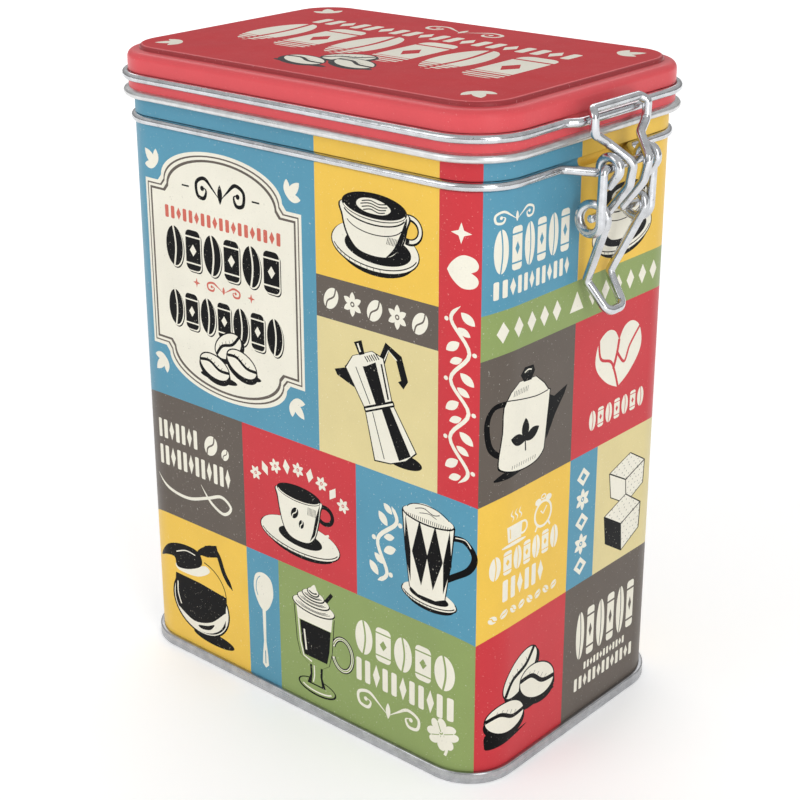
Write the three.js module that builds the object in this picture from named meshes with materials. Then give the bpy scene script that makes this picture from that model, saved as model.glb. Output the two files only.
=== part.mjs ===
// A tall rectangular tinplate storage tin with a hinged lid and a wire toggle clasp.
//
// Millimetres, +Z up. The wide faces look along -Y and +Y. The clasp is on the +X face
// and the lid hinge on the -X face. The tin stands on z = 0, with the origin under the
// middle of its overall box.
//
// Levels are heights above the floor. An "offset" is a distance outside the printed
// face of the body wall, so a negative offset lies inside it.

import * as THREE from 'three';
import { mergeVertices } from 'three/addons/utils/BufferGeometryUtils.js';

// Body
const WIDTH = 110;
const DEPTH = 73;
const CORNER_RADIUS = 11.5;
const SHEET = 0.5;
const WALL_BOTTOM = 1.2;
const NECK_START = 143.4;
const NECK_TOP = 151.6;
const NECK_OFFSET = -1.2;
const RIM_CURL_RADIUS = 0.75;

// Base, seamed round the bottom edge of the wall
const SEAM_OFFSET = 1.0;
const SEAM_HEIGHT = 2.9;
const SEAM_FLOOR = 0.8;
const PANEL_UNDERSIDE = 2.0;
const SEAM_GAP = 0.3;

// Lid
const LID_TOP = 154.6;
const LID_LEDGE = 153.5;
const SKIRT_OFFSET = 1.15;
const SKIRT_BOTTOM = 144.6;
const SHOULDER_RADIUS = 1.7;
const HEM_RADIUS = 0.9;
const HEM_LEVEL = 144.0;

// Sealing ring under the edge of the lid
const GASKET_BOTTOM = 151.95;
const GASKET_TOP = 152.75;
const GASKET_INNER_OFFSET = -3.6;
const GASKET_OUTER_OFFSET = -0.45;

// Wire
const WIRE_RADIUS = 1.0;
const WIRE_SIDES = 10;
const EYE_RADIUS = 2.3;
const BODY_WIRE_LEVEL = 138;
const BODY_WIRE_OFFSET = 0;
const LID_WIRE_LEVEL = 148;
const LID_WIRE_OFFSET = 1.65;
const GROOVE_RADIUS = 1.35;

// Hinge on the -X face: the body wire steps out to a straight bar and the lid wire's
// two ends curl round it.
const HINGE_X = -58.9;
const HINGE_BAR_HALF = 13.5;
const HINGE_STEP = 4;
const HINGE_EYE_Y = 9;
const HINGE_EYE_END = 60;

// Clasp on the +X face
const FRONT_STEP_X = 58.7;
const FRONT_STEP_Y = 11;
const PIVOT = new THREE.Vector2(63.5, 138.5);
const PIVOT_EYE_Y = 6.9;
const PIVOT_EYE_TAIL = 3.4;
const PIVOT_EYE_END = -37;
const WIRE_LEAVES_Y = 12.2;
const ARM_Y = 9.2;
const ELBOW = new THREE.Vector2(60.3, 127.6);
const COIL_RADIUS = 3.0;
const COIL_EXIT = -26;
const LEG_Y = 6.7;
const GRIP_BEND = new THREE.Vector3(57.1, 4.3, 112.6);
const GRIP_END = new THREE.Vector3(61.9, 2.9, 106.3);
const CROSSBAR_JOINT_Y = -4.6;
const CROSSBAR_JOINT_GAP = 0.5;

// Faceting
const CORNER_STEPS = 8;
const BEND_STEP = 18;
const ARC_STEP = 20;
const BEAD_STEPS = 8;

const PLAN_X = WIDTH / 2 - CORNER_RADIUS;
const PLAN_Y = DEPTH / 2 - CORNER_RADIUS;
const AXIS = null;

const printedSheet = { color: 0x5d99b0, roughness: 0.42, metalness: 0.15 };
const lidSheet = { color: 0xcb4249, roughness: 0.42, metalness: 0.15 };
const bareTinplate = { color: 0xc4c6c8, roughness: 0.3, metalness: 0.9 };
const brightWire = { color: 0xb9bcbf, roughness: 0.22, metalness: 1 };
const sealRubber = { color: 0xd9d5c8, roughness: 0.7, metalness: 0 };

function radians(degrees) {
  return THREE.MathUtils.degToRad(degrees);
}

// ---------------------------------------------------------------------------
// Pressed sheet: a profile carried round the rounded rectangle of the tin
// ---------------------------------------------------------------------------

// Where the station numbered index stands on the outline drawn at a given offset. Each
// quarter of the outline is one corner arc; the straight sides join one arc to the next.
function outlinePoint(index, offset) {
  const perQuarter = CORNER_STEPS + 1;
  const quarter = Math.floor(index / perQuarter) % 4;
  const step = index % perQuarter;
  const angle = (quarter + step / CORNER_STEPS) * Math.PI / 2;
  const signX = quarter === 0 || quarter === 3 ? 1 : -1;
  const signY = quarter < 2 ? 1 : -1;
  const radius = CORNER_RADIUS + offset;
  return new THREE.Vector2(
    signX * PLAN_X + radius * Math.cos(angle),
    signY * PLAN_Y + radius * Math.sin(angle),
  );
}

// Drops triangles that have lost an edge, which a profile that meets the axis makes.
function withoutSlivers(geometry) {
  const index = geometry.getIndex().array;
  const kept = [];
  for (let i = 0; i < index.length; i += 3) {
    const [a, b, c] = [index[i], index[i + 1], index[i + 2]];
    if (a !== b && b !== c && c !== a) kept.push(a, b, c);
  }
  geometry.setIndex(kept);
  return geometry;
}

function signedVolume(geometry) {
  const position = geometry.getAttribute('position');
  const index = geometry.getIndex().array;
  const corners = [new THREE.Vector3(), new THREE.Vector3(), new THREE.Vector3()];
  let volume = 0;
  for (let i = 0; i < index.length; i += 3) {
    corners.forEach((corner, k) => corner.fromBufferAttribute(position, index[i + k]));
    volume += corners[0].dot(corners[1].clone().cross(corners[2])) / 6;
  }
  return volume;
}

function facingOut(geometry) {
  if (signedVolume(geometry) < 0) geometry.setIndex(Array.from(geometry.getIndex().array).reverse());
  geometry.computeVertexNormals();
  return geometry;
}

// profile is a list of [offset, level]. It starts and ends with AXIS as its offset, or
// runs round and closes on itself.
function pressedSheet(profile) {
  const closed = profile[0][0] !== AXIS;
  const outline = closed ? [...profile, profile[0]] : profile;
  const points = outline.map(([offset, level]) => {
    const radius = offset === AXIS ? 0 : CORNER_RADIUS + offset;
    return new THREE.Vector2(radius, level);
  });
  const stations = 4 * (CORNER_STEPS + 1);
  const geometry = new THREE.LatheGeometry(points, stations);
  const position = geometry.getAttribute('position');
  for (let i = 0; i < position.count; i += 1) {
    const [offset, level] = outline[i % outline.length];
    const station = Math.floor(i / outline.length);
    const place = offset === AXIS ? new THREE.Vector2() : outlinePoint(station, offset);
    position.setXYZ(i, place.x, place.y, level);
  }
  geometry.deleteAttribute('normal');
  geometry.deleteAttribute('uv');
  return facingOut(withoutSlivers(mergeVertices(geometry)));
}

// Points of an arc in the profile plane, angles in degrees.
function bead(offset, level, radius, from, to, steps = BEAD_STEPS) {
  return Array.from({ length: steps + 1 }, (_, i) => {
    const angle = radians(from + (to - from) * i / steps);
    return [offset + radius * Math.cos(angle), level + radius * Math.sin(angle)];
  });
}

// Half angle of the arc of a wire groove that is cut off by a face at faceOffset.
function grooveHalfAngle(wireOffset, faceOffset, radius) {
  return THREE.MathUtils.radToDeg(Math.acos((wireOffset - faceOffset) / radius));
}

// The rolled groove a wire lies in, as seen on the outer face, running upwards.
function wireGroove(wireOffset, level, faceOffset) {
  const half = grooveHalfAngle(wireOffset, faceOffset, GROOVE_RADIUS);
  return bead(wireOffset, level, GROOVE_RADIUS, 180 + half, 180 - half, 6);
}

// The inner face behind the same groove.
function grooveBack(wireOffset, level, faceOffset) {
  const radius = GROOVE_RADIUS + SHEET;
  const half = grooveHalfAngle(wireOffset, faceOffset - SHEET, radius);
  return bead(wireOffset, level, radius, 180 - half, 180 + half, 6);
}

// ---------------------------------------------------------------------------
// Bent wire: a round section carried along straight runs and bends
// ---------------------------------------------------------------------------

// A curve that passes through its stations and is straight between them.
class StationPath extends THREE.Curve {
  constructor(stations) {
    super();
    this.stations = stations;
  }

  getPoint(t, target = new THREE.Vector3()) {
    const place = t * (this.stations.length - 1);
    const index = Math.min(Math.floor(place), this.stations.length - 2);
    return target.lerpVectors(this.stations[index], this.stations[index + 1], place - index);
  }

  getPointAt(u, target) {
    return this.getPoint(u, target);
  }

  getTangentAt(u, target = new THREE.Vector3()) {
    const last = this.stations.length - 1;
    const index = Math.round(u * last);
    target.set(0, 0, 0);
    for (const start of [Math.max(index - 1, 0), Math.min(index, last - 1)]) {
      const run = new THREE.Vector3().subVectors(this.stations[start + 1], this.stations[start]);
      target.add(run.normalize());
    }
    return target.normalize();
  }
}

function bentWire(stations) {
  const section = new THREE.Shape(Array.from({ length: WIRE_SIDES }, (_, i) => {
    const angle = 2 * Math.PI * i / WIRE_SIDES;
    return new THREE.Vector2(WIRE_RADIUS * Math.cos(angle), WIRE_RADIUS * Math.sin(angle));
  }));
  const geometry = new THREE.ExtrudeGeometry(section, {
    steps: stations.length - 1,
    extrudePath: new StationPath(stations),
  });
  geometry.deleteAttribute('normal');
  geometry.deleteAttribute('uv');
  return facingOut(mergeVertices(geometry));
}

// Stations along a run with its corners rounded. Each corner is {at, radius}; the first
// and last have no radius and stay as they are.
function roundedRun(corners) {
  const stations = [];
  corners.forEach(({ at, radius }, i) => {
    if (!radius) {
      stations.push(at);
      return;
    }
    const arrive = at.clone().sub(corners[i - 1].at).normalize();
    const leave = corners[i + 1].at.clone().sub(at).normalize();
    const turn = arrive.angleTo(leave);
    const start = at.clone().addScaledVector(arrive, -radius * Math.tan(turn / 2));
    const inwards = leave.clone().sub(arrive).normalize();
    const centre = at.clone().addScaledVector(inwards, radius / Math.cos(turn / 2));
    const axis = arrive.clone().cross(leave).normalize();
    const steps = Math.max(2, Math.ceil(turn / radians(BEND_STEP)));
    for (let k = 0; k <= steps; k += 1) {
      const spoke = start.clone().sub(centre).applyAxisAngle(axis, turn * k / steps);
      stations.push(centre.clone().add(spoke));
    }
  });
  return stations;
}

// Stations of an arc, or of a coil, about an axis along Y. Angles are in degrees from +X
// towards +Z, and the wire moves along Y from fromY to toY as it turns.
function turnAboutY(centre, radius, fromAngle, toAngle, fromY, toY = fromY) {
  const steps = Math.ceil(Math.abs(toAngle - fromAngle) / ARC_STEP);
  return Array.from({ length: steps + 1 }, (_, i) => {
    const share = i / steps;
    const angle = radians(fromAngle + (toAngle - fromAngle) * share);
    return new THREE.Vector3(
      centre.x + radius * Math.cos(angle),
      fromY + (toY - fromY) * share,
      centre.y + radius * Math.sin(angle),
    );
  });
}

function corner(x, y, z, radius = 0) {
  return { at: new THREE.Vector3(x, y, z), radius };
}

// The two plan corners of a wire that lies at an offset, on the side given by sign.
function planCorner(signX, signY, offset, level) {
  const x = signX * (WIDTH / 2 + offset);
  const y = signY * (DEPTH / 2 + offset);
  return corner(x, y, level, CORNER_RADIUS + offset);
}

// The same stations on the other side of the plane y = 0, in the opposite order.
function mirrored(stations) {
  return stations.map(({ x, y, z }) => new THREE.Vector3(x, -y, z)).reverse();
}

// ---------------------------------------------------------------------------
// Pieces
// ---------------------------------------------------------------------------

function bodyWall() {
  const inner = -SHEET;
  const curl = NECK_OFFSET - RIM_CURL_RADIUS;
  return pressedSheet([
    [0, WALL_BOTTOM],
    ...wireGroove(BODY_WIRE_OFFSET, BODY_WIRE_LEVEL, -0.01),
    [0, NECK_START],
    [NECK_OFFSET, NECK_START + 1.2],
    ...bead(curl, NECK_TOP - RIM_CURL_RADIUS, RIM_CURL_RADIUS, 0, 270),
    [NECK_OFFSET - SHEET, NECK_TOP - 2 * RIM_CURL_RADIUS - 0.35],
    [NECK_OFFSET - SHEET, NECK_START + 1],
    [inner, NECK_START - 0.2],
    ...grooveBack(BODY_WIRE_OFFSET, BODY_WIRE_LEVEL, 0),
    [inner, WALL_BOTTOM],
  ]);
}

function basePan() {
  const chuck = -SHEET - SEAM_GAP;
  const round = 0.45;
  return pressedSheet([
    [AXIS, PANEL_UNDERSIDE],
    [chuck - 2.4, PANEL_UNDERSIDE],
    [chuck - 0.9, 0.25],
    [chuck - 0.6, 0],
    [SEAM_OFFSET - round, 0],
    ...bead(SEAM_OFFSET - round, round, round, -90, 0, 3),
    ...bead(SEAM_OFFSET - round, SEAM_HEIGHT - round, round, 0, 60, 3),
    [SEAM_GAP, SEAM_HEIGHT],
    [SEAM_GAP, SEAM_FLOOR],
    [chuck, SEAM_FLOOR],
    [chuck, SEAM_HEIGHT],
    [chuck - SHEET, SEAM_HEIGHT],
    [chuck - 1.9, PANEL_UNDERSIDE + SHEET],
    [AXIS, PANEL_UNDERSIDE + SHEET],
  ]);
}

function lidShell() {
  const inside = SKIRT_OFFSET - SHEET;
  const shoulder = SKIRT_OFFSET - SHOULDER_RADIUS;
  const shoulderLevel = LID_LEDGE - SHOULDER_RADIUS;
  const hemOffset = SKIRT_OFFSET - SHEET + HEM_RADIUS;
  return pressedSheet([
    [AXIS, LID_TOP],
    ...bead(-2.5, LID_TOP - 0.7, 0.7, 90, 0, 3),
    [-1.7, LID_LEDGE],
    ...bead(shoulder, shoulderLevel, SHOULDER_RADIUS, 90, 0, 5),
    ...wireGroove(LID_WIRE_OFFSET, LID_WIRE_LEVEL, SKIRT_OFFSET).reverse(),
    [SKIRT_OFFSET, HEM_LEVEL + HEM_RADIUS],
    ...bead(hemOffset, HEM_LEVEL, HEM_RADIUS, 60, -180),
    [inside, SKIRT_BOTTOM],
    ...grooveBack(LID_WIRE_OFFSET, LID_WIRE_LEVEL, SKIRT_OFFSET).reverse(),
    ...bead(shoulder, shoulderLevel, SHOULDER_RADIUS - SHEET, 0, 90, 4),
    [-2.3, LID_LEDGE - SHEET],
    [-2.4, LID_TOP - 1.2],
    [-3.0, LID_TOP - SHEET],
    [AXIS, LID_TOP - SHEET],
  ]);
}

function lidGasket() {
  const middle = (GASKET_INNER_OFFSET + GASKET_OUTER_OFFSET) / 2;
  return pressedSheet([
    [GASKET_INNER_OFFSET, GASKET_BOTTOM + 0.2],
    [GASKET_INNER_OFFSET + 0.2, GASKET_BOTTOM],
    [middle, GASKET_BOTTOM + 0.1],
    [GASKET_OUTER_OFFSET - 0.5, GASKET_BOTTOM],
    [GASKET_OUTER_OFFSET, GASKET_BOTTOM + 0.2],
    [GASKET_OUTER_OFFSET - 0.15, GASKET_TOP - 0.1],
    [GASKET_OUTER_OFFSET - 0.5, GASKET_TOP],
    [GASKET_INNER_OFFSET, GASKET_TOP],
  ]);
}

// One clasp eyelet of the body wire with its cut tail, from the tail to the wall.
function pivotEye(side) {
  const y = side * PIVOT_EYE_Y;
  const loop = turnAboutY(PIVOT, EYE_RADIUS, PIVOT_EYE_END, 180, y);
  const tail = loop[0].clone();
  tail.x += PIVOT_EYE_TAIL * Math.sin(radians(PIVOT_EYE_END));
  tail.z -= PIVOT_EYE_TAIL * Math.cos(radians(PIVOT_EYE_END));
  return [tail, ...loop];
}

function bodyWire() {
  const level = BODY_WIRE_LEVEL;
  const face = WIDTH / 2 + BODY_WIRE_OFFSET;
  const eye = pivotEye(-1);
  const half = roundedRun([
    { at: eye[eye.length - 1] },
    corner(PIVOT.x - EYE_RADIUS, -PIVOT_EYE_Y, level - 0.8, 1.1),
    corner(face, -WIRE_LEAVES_Y, level, 3),
    planCorner(1, -1, BODY_WIRE_OFFSET, level),
    planCorner(-1, -1, BODY_WIRE_OFFSET, level),
    corner(-face, -HINGE_BAR_HALF - HINGE_STEP, level, 2.5),
    corner(HINGE_X, -HINGE_BAR_HALF, level, 2.5),
    corner(HINGE_X, 0, level),
  ]);
  const route = [...eye.slice(0, -1), ...half];
  return bentWire([...route, ...mirrored(route).slice(1)]);
}

function lidWire() {
  const level = LID_WIRE_LEVEL;
  const face = WIDTH / 2 + LID_WIRE_OFFSET;
  const hinge = new THREE.Vector2(HINGE_X, BODY_WIRE_LEVEL);
  const eye = turnAboutY(hinge, EYE_RADIUS, HINGE_EYE_END, -180, -HINGE_EYE_Y);
  const half = roundedRun([
    { at: eye[eye.length - 1] },
    corner(HINGE_X - EYE_RADIUS, -HINGE_EYE_Y, level, 2.2),
    corner(-face, -HINGE_EYE_Y - 4.6, level, 2.2),
    planCorner(-1, -1, LID_WIRE_OFFSET, level),
    planCorner(1, -1, LID_WIRE_OFFSET, level),
    corner(face, -FRONT_STEP_Y - 2.6, level, 2.5),
    corner(FRONT_STEP_X, -FRONT_STEP_Y, level, 2.5),
    corner(FRONT_STEP_X, 0, level),
  ]);
  const route = [...eye.slice(0, -1), ...half];
  return bentWire([...route, ...mirrored(route).slice(1)]);
}

// The stirrup: two pins in the lever's coils, legs that pass in front of the pivot and
// spread to a bar that lies over the lid wire.
function claspLink() {
  const half = roundedRun([
    corner(ELBOW.x, -ARM_Y + 0.6, ELBOW.y),
    corner(ELBOW.x, -2.4, ELBOW.y, 1.2),
    corner(65.5, -2.6, 134.4, 3),
    corner(66.4, -2.9, 139.3, 2),
    corner(62, -6, 143.4, 2.5),
    corner(61.1, -9.4, 145.6, 2),
    corner(61.1, -9.6, 149.4, 1.1),
    corner(59.7, -8.4, 150.4, 1.1),
    corner(59.7, 0, 150.4),
  ]);
  return bentWire([...half, ...mirrored(half).slice(1)]);
}

// The lever: one wire whose ends meet on the pivot, with a coil at each elbow, two legs
// and a looped grip.
function claspLever() {
  const coil = turnAboutY(ELBOW, COIL_RADIUS, 0, COIL_EXIT - 360, -ARM_Y, -LEG_Y);
  const arm = roundedRun([
    corner(PIVOT.x, CROSSBAR_JOINT_Y, PIVOT.y),
    corner(PIVOT.x, -ARM_Y, PIVOT.y, 1.1),
    { at: coil[0] },
  ]);
  const legs = roundedRun([
    { at: coil[coil.length - 1] },
    corner(GRIP_BEND.x, -GRIP_BEND.y, GRIP_BEND.z, 1.6),
    corner(GRIP_END.x, -GRIP_END.y, GRIP_END.z, 2.3),
    corner(GRIP_END.x, GRIP_END.y, GRIP_END.z, 2.3),
    corner(GRIP_BEND.x, GRIP_BEND.y, GRIP_BEND.z, 1.6),
    { at: mirrored(coil)[0] },
  ]);
  const farArm = mirrored(arm).slice(0, -1);
  const crossbarEnd = new THREE.Vector3(PIVOT.x, CROSSBAR_JOINT_Y + CROSSBAR_JOINT_GAP, PIVOT.y);
  return bentWire([
    ...arm,
    ...coil.slice(1),
    ...legs.slice(1, -1),
    ...mirrored(coil),
    ...farArm.slice(1),
    crossbarEnd,
  ]);
}

function piece(name, geometry, look) {
  const mesh = new THREE.Mesh(geometry, new THREE.MeshStandardMaterial(look));
  mesh.name = name;
  return mesh;
}

const tin = new THREE.Group();
tin.name = 'coffee_tin';
tin.add(
  piece('body_wall', bodyWall(), printedSheet),
  piece('base_pan', basePan(), bareTinplate),
  piece('lid_shell', lidShell(), lidSheet),
  piece('lid_gasket', lidGasket(), sealRubber),
  piece('lid_wire', lidWire(), brightWire),
  piece('body_wire', bodyWire(), brightWire),
  piece('clasp_link', claspLink(), brightWire),
  piece('clasp_lever', claspLever(), brightWire),
);

// The clasp reaches further out than the hinge, so the tin moves back along X to bring
// the middle of its overall box over the origin.
const overall = new THREE.Box3().setFromObject(tin);
tin.position.x = -(overall.min.x + overall.max.x) / 2;

export default tin;
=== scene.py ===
"""A vintage printed coffee tin with a wire-hinged lid and a wire toggle clasp.

Shapes are drawn in millimetres in the tin's own frame: the middle of the wall in plan is
at x = y = 0, the floor at z = 0, the wide faces look along -y and +y and the clasp is on
the +x face. in_row() moves a point from there to the row frame, in metres.

An "offset" is a distance outside the printed face of the wall.
"""

import math

import bmesh
import bpy
from mathutils import Matrix, Vector
from mathutils.geometry import delaunay_2d_cdt


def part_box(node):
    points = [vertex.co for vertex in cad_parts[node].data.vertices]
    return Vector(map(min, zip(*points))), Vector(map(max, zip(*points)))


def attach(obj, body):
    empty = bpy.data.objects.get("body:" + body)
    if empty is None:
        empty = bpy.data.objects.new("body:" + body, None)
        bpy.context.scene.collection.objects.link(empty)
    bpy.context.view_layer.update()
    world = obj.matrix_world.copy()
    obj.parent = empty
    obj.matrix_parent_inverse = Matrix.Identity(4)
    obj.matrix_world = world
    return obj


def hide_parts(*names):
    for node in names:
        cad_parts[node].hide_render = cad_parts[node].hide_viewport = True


# Body and base
WIDTH = 110.0
DEPTH = 73.0
CORNER_RADIUS = 11.5
SHEET = 0.5
WALL_BOTTOM = 1.2
SEAM_TOP = 2.9
SEAM_OFFSET = 1.0
PANEL_UNDERSIDE = 2.0
NECK_START = 143.4
NECK_TOP = 151.6
NECK_OFFSET = -1.2
RIM_CURL_RADIUS = 0.75

# Lid
LID_TOP = 154.6
LID_LEDGE = 153.5
PANEL_EDGE = -2.5
SKIRT_OFFSET = 1.15
SHOULDER_RADIUS = 1.7
HEM_RADIUS = 0.9
HEM_LEVEL = 144.0
GASKET_BOTTOM = 151.95
GASKET_TOP = 152.75
GASKET_INNER = -3.6
GASKET_OUTER = -0.45

# Wire
WIRE_RADIUS = 1.0
EYE_RADIUS = 2.3
BODY_WIRE_LEVEL = 138.0
LID_WIRE_LEVEL = 148.0
LID_WIRE_OFFSET = 1.65
GROOVE_RADIUS = 1.14
LID_BAR_X = 58.7
HINGE_X = -58.9
HINGE_BAR_HALF = 13.5
HINGE_STEP = 4.0
HINGE_EYE_Y = 9.0
PIVOT = (63.5, 138.5)
PIVOT_EYE_Y = 6.9
PIVOT_EYE_TAIL = 3.4
PIVOT_EYE_END = -37
ARM_Y = 9.2
ELBOW = (60.3, 127.6)
COIL_RADIUS = 3.0
COIL_EXIT = -26
LEG_Y = 6.7
GRIP_BEND = (57.1, 4.3, 112.6)
GRIP_END = (61.9, 2.9, 106.3)
CROSSBAR_GAP_Y = (-4.6, -4.1)

PLAN_X = WIDTH / 2 - CORNER_RADIUS
PLAN_Y = DEPTH / 2 - CORNER_RADIUS
HALF_CORNER = CORNER_RADIUS * math.pi / 4
FLAT_EDGE = -CORNER_RADIUS + 0.5
WIDE_HALF = PLAN_X + HALF_CORNER
NARROW_HALF = PLAN_Y + HALF_CORNER

# Rows and columns of the printed panels, from the middle of a face and from the floor
PRINT_BOTTOM = 1.4
ROWS = (PRINT_BOTTOM, 37.7, 70.3, NECK_START)
BAND = (102.6, 112.2)
BAND_MIDDLE = sum(BAND) / 2
WIDE_COLUMNS = (-15.9, -5.2, 9.1, 20.0, 43.3)
NARROW_COLUMNS = (-4.5, 6.0)

# How far the print hangs low round the corners, where that ends, and how fast it fades
DROOP = 2.9
DROOP_TOP = BODY_WIRE_LEVEL - 2
DROOP_FADE = 0.6

# Share of their outward part that the normals keep in the print's wire groove: it looks deeper
GROOVE_LEAN = 0.5

# Steps of the fine surface
CORNER_STEPS = 8
GROOVE_STEPS = 10
SHEET_CORNER_STEPS = 24
WIRE_SIDES = 20
BEND_STEP = 6
SHORTEST_STEP = 0.01

# The cut artwork's places are rounded, so a place this near the groove's edge is on the edge
ROUNDING = 0.001
MERGE_DISTANCE = 1e-4

# A cut wire end's size as a share of the wire's, at the end and a little way in
END_SIZES = (0.55, 0.86)
END_LENGTH = 0.18

# Pen strokes of the artwork
RING_STEPS = 28
STROKE_CHUNK = 3
THINNEST = 0.12

# Inks
CREAM = "cream"
BLACK = "black"
BLUE = "blue"
YELLOW = "yellow"
RED = "red"
GREEN = "green"
TAUPE = "taupe"
BEIGE = "beige"
CORAL = "coral"
LID_RED = "lid_red"

# ---------------------------------------------------------------------------
# Flat artwork: closed outlines in millimetres, laid down one over the other
# ---------------------------------------------------------------------------


def ellipse(x, y, half_x, half_y, start=0, end=360, steps=40):
    """An ellipse, or the part of one between two angles in degrees, drawn anticlockwise."""
    whole = abs(end - start) == 360
    angles = [math.radians(start + (end - start) * i / steps) for i in range(steps + (not whole))]
    return [(x + half_x * math.cos(a), y + half_y * math.sin(a)) for a in angles]


def mirror(points):
    """The points of the other side, drawn back again."""
    return [(-x, y) for x, y in reversed(points)]


def rectangle(left, bottom, right, top):
    return [(left, bottom), (right, bottom), (right, top), (left, top)]


def smooth(points, closed=True, steps=6):
    """A smooth curve through the points."""
    count = len(points)
    spans = count if closed else count - 1
    curve = []
    for i in range(spans):
        if closed:
            a, b, c, d = (points[(i + k - 1) % count] for k in range(4))
        else:
            a, b, c, d = (points[min(max(i + k - 1, 0), count - 1)] for k in range(4))
        for j in range(steps):
            t = j / steps
            curve.append(tuple(
                0.5 * (2 * b[n] + (c[n] - a[n]) * t
                       + (2 * a[n] - 5 * b[n] + 4 * c[n] - d[n]) * t * t
                       + (3 * b[n] - a[n] - 3 * c[n] + d[n]) * t ** 3)
                for n in range(2)))
    if not closed:
        curve.append(tuple(points[-1]))
    return curve


def leaf_outline(length, width):
    """A pointed leaf from the origin along +x."""
    side = [(length * i / 10, width / 2 * math.sin(math.pi * i / 10) ** 0.8) for i in range(11)]
    return side[:-1] + [(x, -y) for x, y in reversed(side[1:])]


def signed_area(points):
    return sum(x0 * y1 - x1 * y0 for (x0, y0), (x1, y1) in zip(points, points[1:] + points[:1])) / 2


class Artwork:
    """Shapes in the order they are laid down, drawn from a movable origin."""

    def __init__(self, shapes=None, matrix=None):
        self.shapes = [] if shapes is None else shapes
        self.matrix = (1, 0, 0, 1, 0, 0) if matrix is None else matrix

    def place(self, point):
        a, b, c, d, x, y = self.matrix
        return (a * point[0] + b * point[1] + x, c * point[0] + d * point[1] + y)

    def at(self, x, y, scale=1, turn=0, flip=False):
        """The same artwork with its origin at x, y, scaled, turned and perhaps mirrored."""
        cos = scale * math.cos(math.radians(turn))
        sin = scale * math.sin(math.radians(turn))
        side = -1 if flip else 1
        a, b, c, d, _, _ = self.matrix
        e, f = self.place((x, y))
        turned = (side * (a * cos + b * sin), b * cos - a * sin, side * (c * cos + d * sin),
                  d * cos - c * sin)
        return Artwork(self.shapes, turned + (e, f))

    def fill(self, ink, points):
        placed = [self.place(p) for p in points]
        if signed_area(placed) < 0:
            placed.reverse()
        self.shapes.append((ink, placed))

    def stroke(self, ink, points, width, taper=0, curved=True, closed=False):
        """A line of the given width. taper is the share of each end that thins away."""
        path = smooth(points, closed) if curved else list(points)
        if closed:
            path.append(path[0])
        last = len(path) - 1
        sides = []
        for i, (x, y) in enumerate(path):
            before = path[max(i - 1, 0)] if not closed else path[(i - 1) % last]
            after = path[min(i + 1, last)] if not closed else path[(i + 1) % last]
            run = math.hypot(after[0] - before[0], after[1] - before[1]) or 1
            nx, ny = (before[1] - after[1]) / run, (after[0] - before[0]) / run
            half = width / 2
            if taper:
                half *= max(THINNEST, min(1, i / last / taper, (1 - i / last) / taper))
            sides.append(((x + nx * half, y + ny * half), (x - nx * half, y - ny * half)))
        for i in range(0, last, STROKE_CHUNK):
            part = sides[i:min(i + STROKE_CHUNK, last) + 1]
            self.fill(ink, [p[0] for p in part] + [p[1] for p in reversed(part)])

    def line(self, ink, points, width):
        self.stroke(ink, points, width, curved=False)

    def arc(self, ink, x, y, half_x, half_y, start, end, width, steps=40):
        """A line along an ellipse between two angles in degrees."""
        points = ellipse(x, y, half_x, half_y, start, end, steps)
        self.stroke(ink, points, width, curved=False, closed=abs(end - start) == 360)

    def ring(self, ink, x, y, half_x, half_y, width, start=0, end=360):
        self.arc(ink, x, y, half_x, half_y, start, end, width, RING_STEPS)

    def oval(self, ink, x, y, half_x, half_y, steps=40):
        self.fill(ink, ellipse(x, y, half_x, half_y, steps=steps))

    def blob(self, ink, points, steps=4):
        self.fill(ink, smooth(points, steps=steps))

    def outlined(self, points, wide, tall=1, rise=0, ink=CREAM):
        """A shape on a slightly wider and taller black one."""
        self.fill(BLACK, [(x * wide, y * tall + rise) for x, y in points])
        self.fill(ink, points)


# Small motifs ---------------------------------------------------------------


def crease(art, ink, length, width, levels, thickness):
    """The winding line down a bean. levels are shares of the bean's width."""
    places = (-length / 2, -length / 5, length / 6, length / 2)
    art.stroke(ink, [(x, level * width) for x, level in zip(places, levels)], thickness)


def bean(art, x, y, length, width, turn, skin=CREAM, line=BLACK):
    own = art.at(x, y, turn=turn)
    own.oval(skin, 0, 0, length / 2, width / 2)
    crease(own, line, length, width, (0.03, 0.13, -0.1, 0.02), max(0.1 * width, 0.25))


def bean_with_depth(art, x, y, length, width, turn, under=-90):
    """A bean drawn in black line, with its dark side towards the given direction."""
    own = art.at(x, y, turn=turn)
    angle = math.radians(under - turn)
    depth = 0.17 * width
    own.oval(BLACK, depth * math.cos(angle), depth * math.sin(angle), length / 2 + 0.5, width / 2 + 0.45)
    own.oval(BLACK, 0, 0, length / 2 + 0.35, width / 2 + 0.35)
    own.oval(CREAM, 0, 0, length / 2, width / 2)
    crease(own, BLACK, length, width, (-0.04, 0.13, -0.02, 0.12), 0.13 * width)
    for k in range(5):
        reach = length * (-0.3 + 0.13 * k)
        level = width * (0.16 - 0.04 * abs(k - 1))
        own.line(BLACK, [(reach, level), (reach + 0.03 * length, level + 0.12 * width)], 0.13)


def bean_pile(art):
    """Three beans, the middle one standing behind the other two."""
    art.oval(BLACK, -3.2, -6, 6.2, 1)
    art.oval(BLACK, 6, -3, 5, 0.9)
    bean_with_depth(art, 0.4, 2.9, 9.6, 5.6, 32, under=-50)
    bean_with_depth(art, 4.7, -0.5, 9.8, 5.7, -18)
    bean_with_depth(art, -4.5, -3.4, 9.8, 5.6, -14)


def leaf_sprig(art, ink):
    """Three leaves from one place, pointing away from the origin along +x +y."""
    for turn, length, width in ((45, 5.2, 2.3), (-2, 4, 1.9), (92, 4, 1.9)):
        art.at(-1.6, -1.6, turn=turn).fill(ink, leaf_outline(length, width))


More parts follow.
